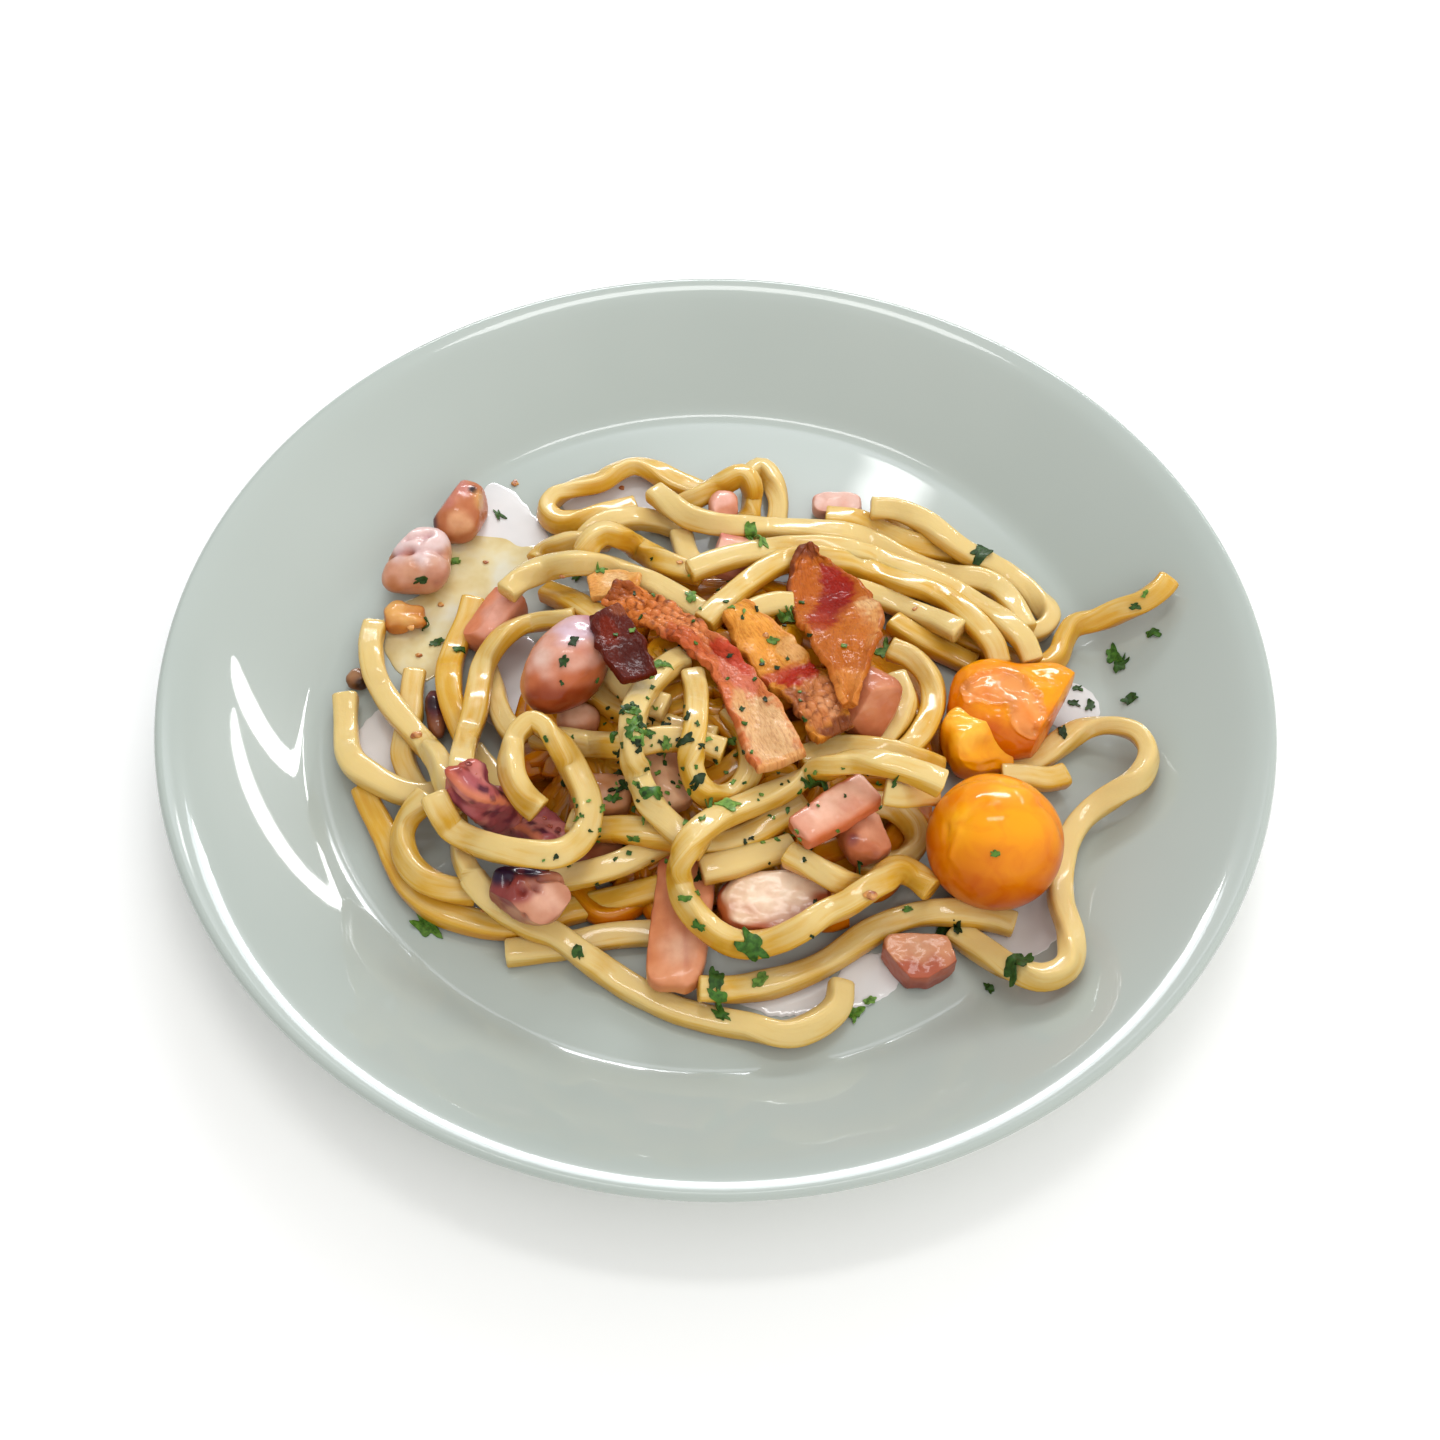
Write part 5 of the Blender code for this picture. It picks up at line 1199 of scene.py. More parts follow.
baconRashers = {
    # thickness, how much it waves and curls, what its half width gains along it, base colour,
    # how crumbly it is (place, reach and amount); bands of colour by their place along (0 to 1)
    # and across (-1 to 1), reach along and across, and share
    "bacon_strip": {
        "thick": 2.3, "wave": 0.7, "curl": 0.5, "spread": (0, 0, 0.1, 0.7, 1.0), "base": "#CC7642",
        "crumble": (0.18, 0.3, 0.9),
        "bands": [("#D07A34", 0.12, 0.0, 0.2, 1.4, 1.0), ("#DA8850", 0.28, 0.2, 0.14, 0.8, 0.9),
            ("#8E4418", 0.02, 0.4, 0.07, 1.2, 0.8), ("#C05A2C", 0.4, -0.6, 0.12, 0.7, 0.8),
            ("#D07458", 0.6, 0.2, 0.12, 0.85, 1.0), ("#BE3E24", 0.54, 0.6, 0.09, 0.5, 0.9),
            ("#D27444", 0.62, -0.95, 0.2, 0.35, 0.9), ("#E0B888", 0.87, 0.05, 0.17, 1.0, 1.0),
            ("#DDB07A", 0.76, -0.4, 0.08, 0.5, 0.8), ("#DCA262", 1.0, 0.0, 0.025, 1.5, 0.8),
            ("#D89856", 0.85, 1.1, 0.2, 0.2, 0.7)]},
    "bacon_diamond": {
        "thick": 1.9, "wave": 0.45, "curl": 1.0, "spread": (0, 0.4, 0.4, 0), "base": "#B86414",
        "crumble": (0.05, 0.12, 0.5),
        # painted highlight: the pale band #E6C08A on the right, where the glossy fat catches the
        # light
        "bands": [("#BC641C", 0.2, -0.4, 0.2, 0.7, 0.9), ("#E6C08A", 0.46, 0.72, 0.1, 0.34, 0.9),
            ("#DDA05A", 0.58, 0.85, 0.14, 0.3, 0.8), ("#A02004", 0.21, 0.56, 0.11, 0.36, 1.0),
            ("#961804", 0.28, 0.32, 0.11, 0.36, 1.0), ("#8C1604", 0.35, 0.06, 0.11, 0.36, 1.0),
            ("#901A06", 0.42, -0.2, 0.11, 0.36, 1.0), ("#A0300E", 0.49, -0.46, 0.1, 0.34, 0.95),
            ("#A84014", 0.56, -0.7, 0.08, 0.3, 0.85), ("#84401E", 0.0, 0.0, 0.07, 1.5, 0.9),
            ("#74381A", 0.2, -1.05, 0.26, 0.16, 0.9), ("#C06C1A", 0.62, 0.3, 0.2, 0.6, 0.8),
            ("#AC5816", 0.55, 1.05, 0.3, 0.14, 0.8), ("#C06E28", 0.75, -1.05, 0.3, 0.2, 0.8),
            ("#D88C40", 0.93, 0, 0.09, 1.5, 0.8)]},
    "bacon_pale": {
        "thick": 2.4, "wave": 0.6, "curl": 0.4, "spread": (0.3, 0.8, 0.4), "base": "#D08A30",
        "crumble": (0.8, 0.2, 0.7),
        "bands": [("#EAA648", 0.2, 0.0, 0.26, 0.9, 0.9), ("#E8A256", 0.1, 1.0, 0.3, 0.22, 0.8),
            ("#E0B070", 0.38, 0.6, 0.1, 0.4, 0.8), ("#AC2404", 0.58, 0.2, 0.1, 1.0, 1.0),
            ("#BC4A2C", 0.5, -0.5, 0.05, 0.7, 0.8), ("#C8804E", 0.8, 0.0, 0.16, 1.3, 0.9),
            ("#94522E", 0.72, -0.6, 0.08, 0.4, 0.8), ("#7C4024", 0.97, 0.3, 0.05, 0.9, 0.9),
            ("#DCA274", 0.85, 0.3, 0.07, 0.4, 0.8)]},
    "bacon_dark": {
        "thick": 2.0, "wave": 0.4, "curl": 0.6, "spread": (0, 0.2, 0), "base": "#581400",
        "crumble": (0.5, 0.1, 0.2),
        "bands": [("#7A2206", 0.3, -0.3, 0.2, 0.5, 0.8), ("#440C00", 0.7, 0.3, 0.25, 0.7, 0.8),
            ("#94502E", 0.1, 0.7, 0.1, 0.5, 0.7)]},
    "bacon_clear": {
        "thick": 1.8, "wave": 0.4, "curl": 0.3, "spread": (0.3, 0.3), "base": "#E6B066",
        "crumble": (0.5, 0.1, 0.1),
        "bands": [("#EFCA92", 0.5, 0.2, 0.25, 0.6, 0.9), ("#DA9442", 0.9, -0.4, 0.2, 0.8, 0.8),
            ("#DE9C4C", 0.1, 0.0, 0.12, 1.0, 0.6)]},
}

# fried bacon: greasy, the fat half clear, the lean dry with a grain of fibres
baconFinish, tree, shader, spot = newFinish(
    "fried bacon fat and lean", "#D9935A", 0.42, IOR=1.4, Specular_IOR_Level=0.12,
    glow=(0.12, 0.001, (1.0, 0.55, 0.3)), coat=(0.14, 0.12))
fry = addNode(tree, "ShaderNodeAttribute", out="Vector", attribute_name="grain")
stretch = addNode(tree, "ShaderNodeMapping", {"Vector": fry, "Scale": (0.35, 1.3, 1.0)})
fibres = addNode(tree, "ShaderNodeTexNoise", {"Vector": stretch, "Scale": 1.5,
                                              "Detail": 5, "Roughness": 0.65})
mottled(tree, shader, fibres, 0.55, [(0.32, "#B87A50"), (0.5, "#F6E2C8"), (0.68, "#FFFFFF")])
blister = addNode(tree, "ShaderNodeTexVoronoi", {"Vector": spot, "Scale": 900})
low = addNode(tree, "ShaderNodeBump", {"Height": fibres, "Strength": 0.5, "Distance": 0.6 * mm})
addNode(tree, "ShaderNodeBump", {"Height": blister, "Strength": 0.25, "Distance": 0.25 * mm,
                                 "Normal": low}, into=shader["Normal"])

rind = {"finer": 0.5, "across": 24, "inset": 0.3, "ragged": 0.35, "tips": 0.93, "tipLength": 0.9,
        "waveSize": 5.5, "lowest": -0.9, "highest": 1.1, "uneven": (0.9, 0.3),
        "char": "#5A2412", "charred": 0.85}


def rasher(number, node, look):
    centres, halfW, _ = ribbons[node]
    centres, halfW = finer(centres, halfW, rind["finer"])
    long = len(centres)
    obj, flat = started(node + "_rasher", bpy.ops.mesh.primitive_grid_add,
                        x_subdivisions=long - 1, y_subdivisions=rind["across"], size=2)
    along, across = (flat[:, 0] + 1) / 2, flat[:, 1]
    spots = np.linspace(0, 1, long)
    middle = between(along, spots, centres)
    ahead = unit(between(along, spots, np.gradient(centres, axis=0)))
    side = unit(np.column_stack([-ahead[:, 1], ahead[:, 0], np.zeros(len(along))]))
    up = np.cross(ahead, side)
    length = np.linalg.norm(np.diff(centres, axis=0), axis=1).sum()
    place = np.column_stack([along * length, across * halfW.max()])
    half = np.interp(along, spots, halfW) - rind["inset"]
    half = half + np.interp(along, np.linspace(0, 1, len(look["spread"])), look["spread"])
    edge = np.column_stack([place[:, 0], np.sign(across) * 40])    # each edge waves on its own
    half = half + rind["ragged"] * waves(edge, 2.4, number + 3) * np.abs(across) ** 3
    tips = ease(0, rind["tipLength"], np.minimum(along, 1 - along) * length)
    half = half * (rind["tips"] + (1 - rind["tips"]) * tips)
    lift = (look["wave"] * waves(place, rind["waveSize"], number + 5)
            + look["curl"] * (across ** 2 - 0.4))
    middleOf, reach, amount = look["crumble"]
    crumbs = amount * np.exp(-((along - middleOf) / reach) ** 2)
    lift = np.clip(lift, rind["lowest"], rind["highest"]) + crumbs * (
        0.45 * waves(place, 1.3, number + 7) + 0.3 * waves(place, 0.8, number + 9))
    writePoints(obj, middle + side * (across * half)[:, None] + up * lift[:, None])
    uneven = 0.12 * waves(place, 2.6, number + 11) + 0.08 * waves(place, 1.1, number + 13)
    tint = np.tile(linear(look["base"]), (len(along), 1))
    for colour, a, c, reachA, reachC, share in look["bands"]:
        away = np.hypot((along - a) / reachA, (across - c) / reachC)
        tint = over(tint, colour, share * ease(1.15, 0.75, away + uneven))
    char = crumbs * ease(0.4, 1.0, waves(place, 1.1, number + 15)) * rind["charred"]
    paint(obj, over(tint, rind["char"], char))
    mark(obj, "grain", np.column_stack([place, lift]))
    wall(obj, look["thick"])
    soft = obj.modifiers.new("softened edges", "SUBSURF")
    soft.levels = soft.render_levels = 1
    finished(obj, baconFinish, "bacon_fat" if node in ("bacon_clear", "bacon_pale") else "bacon",
             node, uneven=rind["uneven"])


for number, (node, look) in enumerate(baconRashers.items()):
    rasher(number * 20, node, look)
print("bacon made:", len(baconRashers))


# ---- tomatoes: small yellow ones, whole, burst and a scrap

# top is painted light and low painted shade, used below for the lit top and darker underside
tomato = {"radius": 15.4, "cuts": 44, "skin": "#D46C00", "top": "#FCA600", "low": "#BA5200"}

# ripe tomato: taut thin skin, glossy, the flesh below glows
tomatoFinish, tree, shader, spot = newFinish(
    "yellow tomato skin and flesh", tomato["skin"], 0.3, IOR=1.36, Specular_IOR_Level=0.1,
    glow=(0.1, 0.002, (1.0, 0.42, 0.08)), coat=(0.45, 0.05))
veins = addNode(tree, "ShaderNodeTexNoise", {"Vector": spot, "Scale": 160, "Detail": 3,
                                             "Distortion": 0.8})
mottled(tree, shader, veins, 0.6, [(0.3, "#EBBE50"), (0.6, "#FFFFFF")])
dimples = addNode(tree, "ShaderNodeTexNoise", {"Vector": spot, "Scale": 90, "Detail": 2})
addNode(tree, "ShaderNodeBump", {"Height": dimples, "Strength": 0.22, "Distance": 0.9 * mm},
        into=shader["Normal"])

low, high = (np.array(corner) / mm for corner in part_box("tomato_whole"))
radius = tomato["radius"]
centre = np.array([*((low + high) / 2)[:2], low[2] + radius])
obj, where, out = block("tomato_whole_skin", np.array([radius] * 3), 2.0, tomato["cuts"])
folds = wrinkled(where, [
    ((-12, -2, 9.5), (-9.5, -10, 4), 1.0, -0.55), ((-4, 2, 15), (-9, -3, 12), 0.9, -0.4),
    ((-9, -3, 12), (-11, -8, 7), 0.8, 0.35), ((9, 3, 12), (14, -2, 6), 1.0, -0.4),
    ((2, 8, 13), (10, 8, 8), 1.2, -0.35), ((-2, 10, 12), (-10, 9, 7), 1.1, -0.35)])
squash = 1 - 0.03 * np.abs(out[:, 2]) ** 3
where = where * squash[:, None] + out * (folds + 0.12 * waves(where, 8, 4) - 0.15)[:, None]
writePoints(obj, where + centre)
# painted light: the paler yellow top and the two yellow highlights (#FAB828, #FFC030); painted
# shade: the darker front and underside
tint = coloured(tomato["skin"], [
    (tomato["top"], "side", (0, 0.2, 0.98), 0.0, 0.95, 0.8),
    (tomato["low"], "side", (0.2, -0.7, -0.6), 0.25, 1.1, 0.9),
    ("#FAB828", "spot", (-9, 0, 11), 1, 6, 0.8), ("#FFC030", "spot", (2, 6, 13), 1, 7, 0.6)],
    where, 7.0, 3)
# painted light and shade: lighter on the ridges of the folds, darker in their grooves
tint *= 1 + 0.10 * np.clip(folds, -0.5, 0.5)[:, None]
paint(obj, tint)
finished(obj, tomatoFinish, "tomato", "tomato_whole")

burst = {"half": (15.0, 12.0, 7.5), "turn": -18, "blunt": 2.5, "middle": (69.7, -5.7, 15.2),
         "cuts": 48, "fallen": (0.87, -0.49, 0), "fallenFrom": 9.6, "uneven": (1.8, 0.25)}
flap = {"half": (7.5, 8.5, 6.0), "turn": 10, "blunt": 3.2, "middle": (61.0, -14.7, 15.0),
        "cuts": 30, "creased": (0.35, -0.45, 0.82), "creasedFrom": 4.6}
obj, where, out = block("tomato_burst_skin", np.array(burst["half"]), burst["blunt"],
                        burst["cuts"], burst["turn"])
slit = np.minimum(np.hypot((where[:, 0] + 3.5) / 8.0, (where[:, 1] - 2.2) / 5.0),
                  np.hypot((where[:, 0] - 3.0) / 4.4, (where[:, 1] + 4.6) / 6.4))
window = ease(1.06, 0.92, slit + 0.14 * waves(where, 3.5, 6)) * (where[:, 2] > 0)
rim = window * (1 - window) * 4
corner = ease(0.5, 0.95, (where / np.abs(where).max(0)) @ np.array((0.75, 0.65, 0.0)))
folds = wrinkled(where, [
    ((4, 8, 7), (13, 3, 6), 1.1, -0.5), ((6, -3, 7), (12, -5, 5), 1.2, 0.5),
    ((5, -10, 5), (12, -6, 5), 0.9, -0.5), ((-12, 4, 5), (-14, -4, 3), 1, -0.4)])
where = where + out * (0.4 * waves(where, 5, 5) + 0.7 * rim - 1.1 * window + folds
                       + 0.4 * window * waves(where, 4.5, 8))[:, None]
where = where + np.outer(corner ** 2, (3.4, 2.4, 1.4))
beyond = np.maximum(where @ np.array(burst["fallen"]) - burst["fallenFrom"], 0)
where = where - np.outer(beyond * 0.85, burst["fallen"])    # the side that has fallen in
writePoints(obj, where + np.array(burst["middle"]))
# painted light: the paler top; painted shade: the darker front and left side
tint = coloured(tomato["skin"], [
    (tomato["top"], "side", (0, 0.3, 0.9), 0.2, 1.0, 0.8),
    ("#F8A808", "spot", (12, 7, 5), 1, 8, 0.8),
    (tomato["low"], "side", (-0.6, -0.7, -0.3), 0.4, 1.1, 0.8)], where, 5.0, 13)
inside = np.array(linear("#E8964E")) * (1 + 0.12 * waves(where, 3.6, 9)[:, None])
tint = tint * (1 - window[:, None]) + inside * window[:, None]
paint(obj, tint)

flapObject, where, out = block("tomato_flap", np.array(flap["half"]), flap["blunt"],
                               flap["cuts"], flap["turn"])
fold = wrinkled(where, [((-7, 6, 5), (7, 3, 6), 1.3, -1.0), ((-5, -8, 4), (6, -7, 4), 1.0, 0.5),
                        ((-6, -1, 6), (2, -2, 6), 1.6, 0.5)])
crease = np.maximum(where @ np.array(flap["creased"]) - flap["creasedFrom"], 0)
where = where - np.outer(crease * 0.9, flap["creased"])
edge = (ease(0.6, 1.0, where[:, 0] / flap["half"][0])
        * ease(-0.2, 0.6, -where[:, 1] / flap["half"][1]))
where = where + out * (fold + 0.3 * waves(where, 4, 15))[:, None]
where = where + np.outer(edge, (1.4, -0.6, -0.6))
writePoints(flapObject, where + np.array(flap["middle"]))
# painted light: the paler top (#FDC244); painted shade: the darker front side (#D67C00)
paint(flapObject, coloured("#F2A406", [
    ("#FDC244", "side", (0, 0.2, 1), 0.4, 1.0, 0.8),
    ("#D67C00", "side", (-0.2, -0.9, -0.3), 0.4, 1.1),
    ("#E89A40", "spot", (4, 7, 4), 1, 5, 0.7)], where, 4.0, 23))
finished(joined("tomato_burst_skin", [obj, flapObject]), tomatoFinish, "tomato", "tomato_burst",
         uneven=burst["uneven"])

scrap = {"half": (5.2, 3.8, 2.6), "blunt": 2.6, "cuts": 18, "turn": 20, "lumps": 0.75,
         "uneven": (1.5, 0.5)}
half = np.array(scrap["half"])
obj, where, out = block("tomato_bit_flesh", half, scrap["blunt"], scrap["cuts"], scrap["turn"])
where = where + out * (scrap["lumps"] * waves(where, 3.0, 31))[:, None]
writePoints(obj, where + placed("tomato_bit", half))
# painted light: the paler top (#D8A25C)
paint(obj, coloured("#C47E38", [("#D8A25C", "side", (0, 0, 1), 0.3, 0.9),
                                ("#B46A36", "spot", (-3, -2, 0), 1, 3.5)], where, 2.5, 33))
finished(obj, tomatoFinish, "tomato", "tomato_bit", uneven=scrap["uneven"])
print("tomatoes made")


# ---- sauce: the cooking water and oil that ran out, thin on the plate; one film is painted glare

pool = {"step": 0.8, "around": 120, "inward": 20, "crowded": 1.6, "ragged": 0.03, "swell": 0.25,
        "clear": 0.04, "skin": 0.1}


def puddle(name, outline, centre, depth, finish, seed):
    # a disc stretched to the outline, thick in the middle and rounded down at its edge
    edge = smoothRoute(list(outline) + [outline[0]], pool["step"])[:-1]
    way = np.arctan2(edge[:, 1] - centre[1], edge[:, 0] - centre[0])
    order = np.argsort(way)
    reach = np.hypot(edge[:, 0] - centre[0], edge[:, 1] - centre[1])[order]
    obj, flat = started(name, bpy.ops.mesh.primitive_grid_add, x_subdivisions=pool["around"],
                        y_subdivisions=pool["inward"], size=2)
    angle, share = flat[:, 0] * math.pi, (flat[:, 1] + 1) / 2
    share = 1 - (1 - share) ** pool["crowded"]
    outward = np.column_stack([np.cos(angle), np.sin(angle)])
    far = np.interp(angle, way[order], reach, period=2 * math.pi)
    far *= 1 + pool["ragged"] * waves(outward * 20, 4, seed)
    xy = np.array(centre) + (far * share)[:, None] * outward
    full = depth * (1 - share ** 5) ** 0.5 * (1 + pool["swell"] * waves(xy, 9, seed + 1))
    ground = glazeTop(np.hypot(xy[:, 0], xy[:, 1]))
    writePoints(obj, np.column_stack([xy, ground + pool["clear"] + full]))
    weld(obj, 1e-6)
    wall(obj, pool["skin"], -1)    # down to the glaze
    finished(obj, finish, None)


# starchy sauce: a thin wet film, buttery where the oil gathers
sauceFinish, tree, shader, spot = newFinish(
    "starchy butter sauce", "#E9DFB8", 0.07, IOR=1.36, glow=(0.15, 0.001, (1.0, 0.8, 0.4)),
    coat=(0.5, 0.03))
cloud = clouded(tree, shader, spot, 95, 3, [(0.32, "#CFB474"), (0.5, "#DFCE9A"), (0.68, "#E2DCC0")])
addNode(tree, "ShaderNodeBump", {"Height": cloud, "Strength": 0.2, "Distance": 0.6 * mm},
        into=shader["Normal"])
filmFinish, tree, shader, spot = newFinish(
    "milky water film and glare film", "#D8D2D0", 0.1, IOR=1.34, coat=(0.4, 0.04))
clouded(tree, shader, spot, 60, 2, [(0.3, "#D0CFCD"), (0.7, "#E4E2E0")])

puddles = {
    "sauce_puddle": ([(-71, 52), (-62, 56), (-50, 52), (-47, 46), (-52, 38), (-60, 30), (-66, 20),
                      (-68, 8), (-78, 8), (-82, 15), (-84, 27), (-76, 33), (-72, 42)],
                     (-68, 32), 0.55, sauceFinish),
    "film_behind_left": ([(-66, 52), (-63, 68), (-57, 70), (-50, 62), (-44, 52), (-50, 46),
                          (-60, 46)], (-56, 56), 0.3, filmFinish),
    "film_in_arch": ([(-58, 18), (-47, 20), (-44, 8), (-48, -4), (-55, -6), (-60, 4)], (-52, 8),
                     0.3, filmFinish),
    "film_left": ([(-82, -2), (-74, 0), (-72, -12), (-74, -22), (-82, -20), (-86, -10)], (-78, -10),
                  0.25, filmFinish),
    "film_in_back_loop": ([(-40, 68), (-24, 76), (-8, 70), (-14, 62), (-30, 60), (-41, 62)],
                          (-24, 67), 0.25, filmFinish),
    "film_in_front_loop": ([(6, -79), (14, -82), (24, -80), (29, -74), (22, -72), (10, -74)],
                           (18, -77), 0.3, filmFinish),
    "film_before_chunk": ([(26, -80), (34, -79), (41, -74), (40, -67), (30, -68)], (34, -74), 0.25,
                          filmFinish),
    "film_in_right_loop": ([(60, -64), (68, -68), (76, -64), (79, -56), (78, -48), (70, -52),
                            (62, -58)], (71, -59), 0.3, filmFinish),
    # painted reflection: a pale film laid where the bright glare beside the tomato shows
    "film_for_glare_by_tomato": ([(84, -6), (92, -4), (93, 4), (87, 9), (80, 6), (80, -2)], (86, 1), 0.3,
                       filmFinish),
}
for number, (name, (outline, centre, depth, finish)) in enumerate(puddles.items()):
    puddle(name, outline, centre, depth, finish, 60 + number * 3)
print("sauce made:", len(puddles))


# ---- crumbs of fried bacon and tomato

crumbFinish, tree, shader, spot = newFinish(
    "fried crumbs", "#C8843C", 0.35, glow=(0.15, 0.001), coat=(0.3,))
cloud = clouded(tree, shader, spot, 700, 3, [(0.35, "#9A5224"), (0.65, "#E0A458")])
addNode(tree, "ShaderNodeBump", {"Height": cloud, "Strength": 0.4, "Distance": 0.3 * mm},
        into=shader["Normal"])

# the whole dish as one set of faces, to find what lies under each place that is seen
allPoints, allFaces, first = [], [], 0
for obj in [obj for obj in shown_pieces() if obj.type == "MESH"]:
    allPoints.append(readPoints(obj) * mm)
    allFaces += [[first + v for v in face.vertices] for face in obj.data.polygons]
    first += len(obj.data.vertices)
dish = BVHTree.FromPolygons(np.vstack(allPoints).tolist(), allFaces)
eye = Vector(drape["eye"]) * mm
print("dish mapped:", len(allFaces), "faces")


def seenSpot(x, y):    # what shows at a place seen on the plate's floor
    sight = Vector((x * mm, y * mm, plate["floor"] * mm)) - eye
    spot, normal, _, _ = dish.ray_cast(eye, sight.normalized())
    if spot is None:
        return None, None
    return spot, normal if normal.dot(sight) < 0 else -normal


# place seen on the plate's floor, and size
crumb = {"places": [(-72, -10, 1.3), (35.5, -51.5, 1.5), (-54.5, 71, 1.1), (-26, 70, 0.8),
                    (-77, 23, 0.9), (-70, 30, 0.8), (-60, 44, 0.7), (-74, 14, 0.8), (12, 22, 0.8),
                    (-40, 40, 0.7), (50, 31, 0.6), (-10, 45, 0.7), (2, 0, 0.7), (-52, -57, 0.6)],
         "lumps": 0.22, "shape": (1.0, 0.8, 0.55), "lifted": 0.3}
crumbs = []
picker = np.random.default_rng(21)
for x, y, size in crumb["places"]:
    spot, normal = seenSpot(x, y)
    if spot is None:
        continue
    obj, ball = started("crumb", bpy.ops.mesh.primitive_ico_sphere_add, subdivisions=3)
    ball *= (1 + crumb["lumps"] * waves(ball, 0.9, int(picker.integers(1000))))[:, None]
    ball = ball * size * np.array(crumb["shape"])
    writePoints(obj, ball + np.array(spot + normal * crumb["lifted"] * size * mm) / mm)
    crumbs.append(obj)
finished(joined("crumbs", crumbs), crumbFinish, None)


# ---- parsley, torn and crumbled over everything

# torn leaves: place seen on the plate's floor, length, turn in degrees
parsley = {
    "leaves": [(8, 55, 6, 70), (11, 53, 5, -50), (68, 50, 7, -30), (42, 18, 6, 60),
        (17.5, 27, 7, 85), (-7, 34, 5, 40), (9, -65, 8, -35), (3, -28, 6, 5), (24, -21, 6.5, -30),
        (52, -61, 6, 10), (55, -59.5, 4, 20), (-20, -2, 3.4, 80), (-18.5, -5, 3, 20),
        (-21, -8, 3.4, 70), (-19, -11, 3, 120), (-17.8, -8.5, 2.8, 40), (-14, 12, 5, 30),
        (-30, -67, 4, 80), (1, -73.5, 6, 0), (1.5, -77.5, 5, -70), (2, -81.5, 5, 80),
        (10.5, -73, 5, 60), (-3, -60, 3.5, 0), (-4, -21, 4.5, 20), (-7.5, -10, 4, 60),
        (-21, -23, 5, -70), (-15, -25, 5, -70), (84, -6, 4, 25), (-64, -61, 8, 10),
        (68, -68, 8, -40), (31.5, -81, 4, 40), (34.5, -78, 3, 0), (61, -74.5, 3, 80),
        (99, 17, 6, 20), (100.5, 14.5, 5, -40), (110, 24.5, 4, 60), (101.5, 4, 4, -70),
        (91.5, 2, 3.5, 20), (-20, -5.5, 4, 20), (-21.5, -1, 3.5, -30), (-18, -10, 4, -60),
        (87.5, 2.5, 3, 10), (88.7, 7, 2.6, 60), (106, 33, 3, 30), (109, 37, 2.4, 80),
        (-6.5, -53, 3, 40), (-3.5, -47.5, 3, -20), (-24, -27, 3.4, 30), (-26.5, -29.5, 2.6, 0),
        (-18.5, -37.5, 3, 20), (-16, -33, 2.6, 70), (-23, -14, 3, 50), (-24.5, -9, 2.6, 10),
        (4, -10, 3, 30), (-12, -11, 3, 60), (-7, -3, 2.8, 0), (44, -55, 2.6, 30),
        (65, -40, 2.6, 10), (-76, 38, 3, 20), (-68, 44, 3.4, 30), (-58, 60, 3.6, 20),
        (-70, 18, 4, 30), (-73, 24, 3.6, 50), (-64, 16, 3.2, 60), (-36, 40, 4, 0),
        (-38, 13, 3.6, 70), (-36, 19, 3, -30), (-30, 42, 3, 10), (14, 20, 3, 40)],
    "flecks": 190, "fleckCentres": [(-20, -4), (-20, -8), (-18, -20), (-4, -14), (6, -6), (20, 20),
                                    (-6, 30), (14, -40), (-22, -36), (30, -30)],
    "spread": 9.5, "thickness": 0.3, "shape": 0.6, "fleckSizes": (0.8, 2.0), "above": 3.0,
    "large": 2.4, "cuts": (10, 3), "half": 0.43, "torn": 0.34, "folded": 0.16, "wavy": 0.10,
    "reach": 1.4, "hang": 0.9, "clear": 0.22, "smoothAngle": 50, "shades": (0.8, 1.15),
    "colours": ["#446F24", "#2C4A1A", "#5E8830", "#223614", "#729A44", "#385C20"]}
# parsley: thin matt leaf, its greens mottled by its veins
leafFinish, tree, shader, spot = newFinish(
    "chopped parsley", "#2E5A2A", 0.5, Specular_IOR_Level=0.2, glow=(0.1, 0.001), coat=(0.1, 0.2))
veins = addNode(tree, "ShaderNodeTexNoise", {"Vector": spot, "Scale": 900, "Detail": 3})
mottled(tree, shader, veins, 0.8, [(0.35, "#8A9A80"), (0.6, "#FFFFFF")])
addNode(tree, "ShaderNodeBump", {"Height": veins, "Strength": 0.4, "Distance": 0.2 * mm},
        into=shader["Normal"])


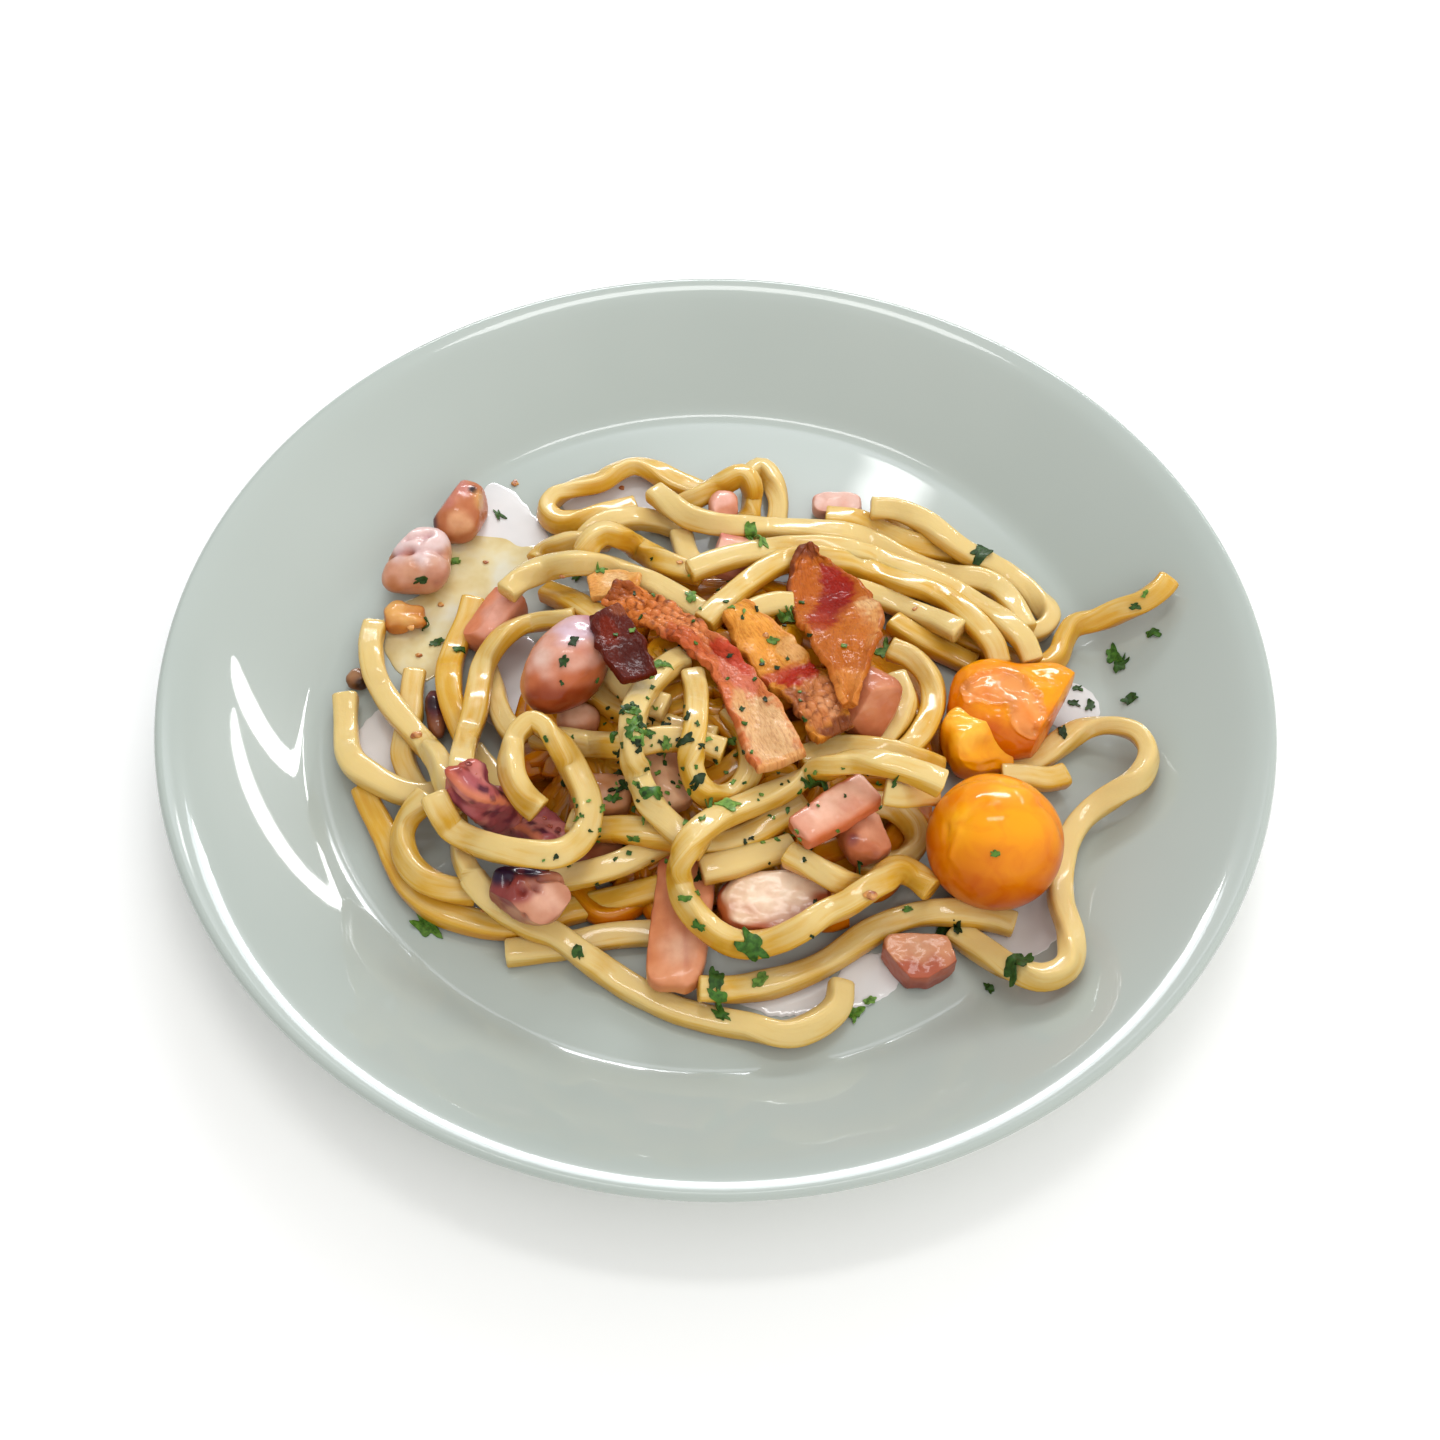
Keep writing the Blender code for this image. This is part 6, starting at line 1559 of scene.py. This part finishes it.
def tornLeaf(x, y, length, turn, picker):
    spot, normal = seenSpot(x, y)
    if spot is None:
        return None
    cuts = parsley["cuts"][0 if length > parsley["large"] else 1]
    obj, flat = started("leaf", bpy.ops.mesh.primitive_grid_add, x_subdivisions=cuts,
                        y_subdivisions=max(2, cuts - 3), size=2)
    angle = np.arctan2(flat[:, 1], flat[:, 0])
    square = np.abs(flat[:, :2]).max(1) / np.maximum(1e-9, np.hypot(flat[:, 0], flat[:, 1]))
    torn = waves(np.column_stack([np.cos(angle), np.sin(angle)]) * 2, 1.1,
                 int(picker.integers(9999)))
    ragged = 1 + parsley["torn"] * torn
    flat = flat[:, :2] * (0.5 * square + 0.5)[:, None] * ragged[:, None]
    flat = flat * np.array((parsley["half"], parsley["half"] * parsley["shape"])) * length
    wavy = waves(flat, 0.5 * length, int(picker.integers(9999)))
    crease = parsley["folded"] * np.abs(flat[:, 1]) + parsley["wavy"] * length * wavy
    c, s = math.cos(math.radians(turn)), math.sin(math.radians(turn))
    flat = flat @ np.array([[c, s], [-s, c]])
    lying = normal.to_track_quat("Z", "Y")
    places = []
    for (u, v), lift in zip(flat, crease):
        start = spot + lying @ Vector((u, v, parsley["above"])) * mm
        hit, _, _, far = dish.ray_cast(start, -normal)
        drop = (min(far / mm, parsley["above"] + parsley["reach"]) if hit
                else parsley["above"] + parsley["hang"])
        places.append(Vector(start) - normal * (drop - parsley["clear"] - max(0, lift)) * mm)
    writePoints(obj, np.array(places) / mm)
    return obj


picker = np.random.default_rng(77)
leaves = []
places = list(parsley["leaves"])
for _ in range(parsley["flecks"]):
    middle = parsley["fleckCentres"][int(picker.integers(len(parsley["fleckCentres"])))]
    x, y = picker.normal(0, 1, 2) * parsley["spread"] + middle
    places.append((x, y, picker.uniform(*parsley["fleckSizes"]), picker.uniform(0, 180)))
for x, y, length, turn in places:
    leaf = tornLeaf(x, y, length, turn, picker)
    if leaf is None:
        continue
    green = parsley["colours"][int(picker.integers(len(parsley["colours"])))]
    colour = np.array(linear(green)) * picker.uniform(*parsley["shades"])
    paint(leaf, np.tile(colour, (len(leaf.data.vertices), 1)))
    leaves.append(leaf)
herbs = joined("parsley", leaves)
wall(herbs, parsley["thickness"])
finished(herbs, leafFinish, "herb", angle=parsley["smoothAngle"])
print("parsley strewn:", len(leaves))
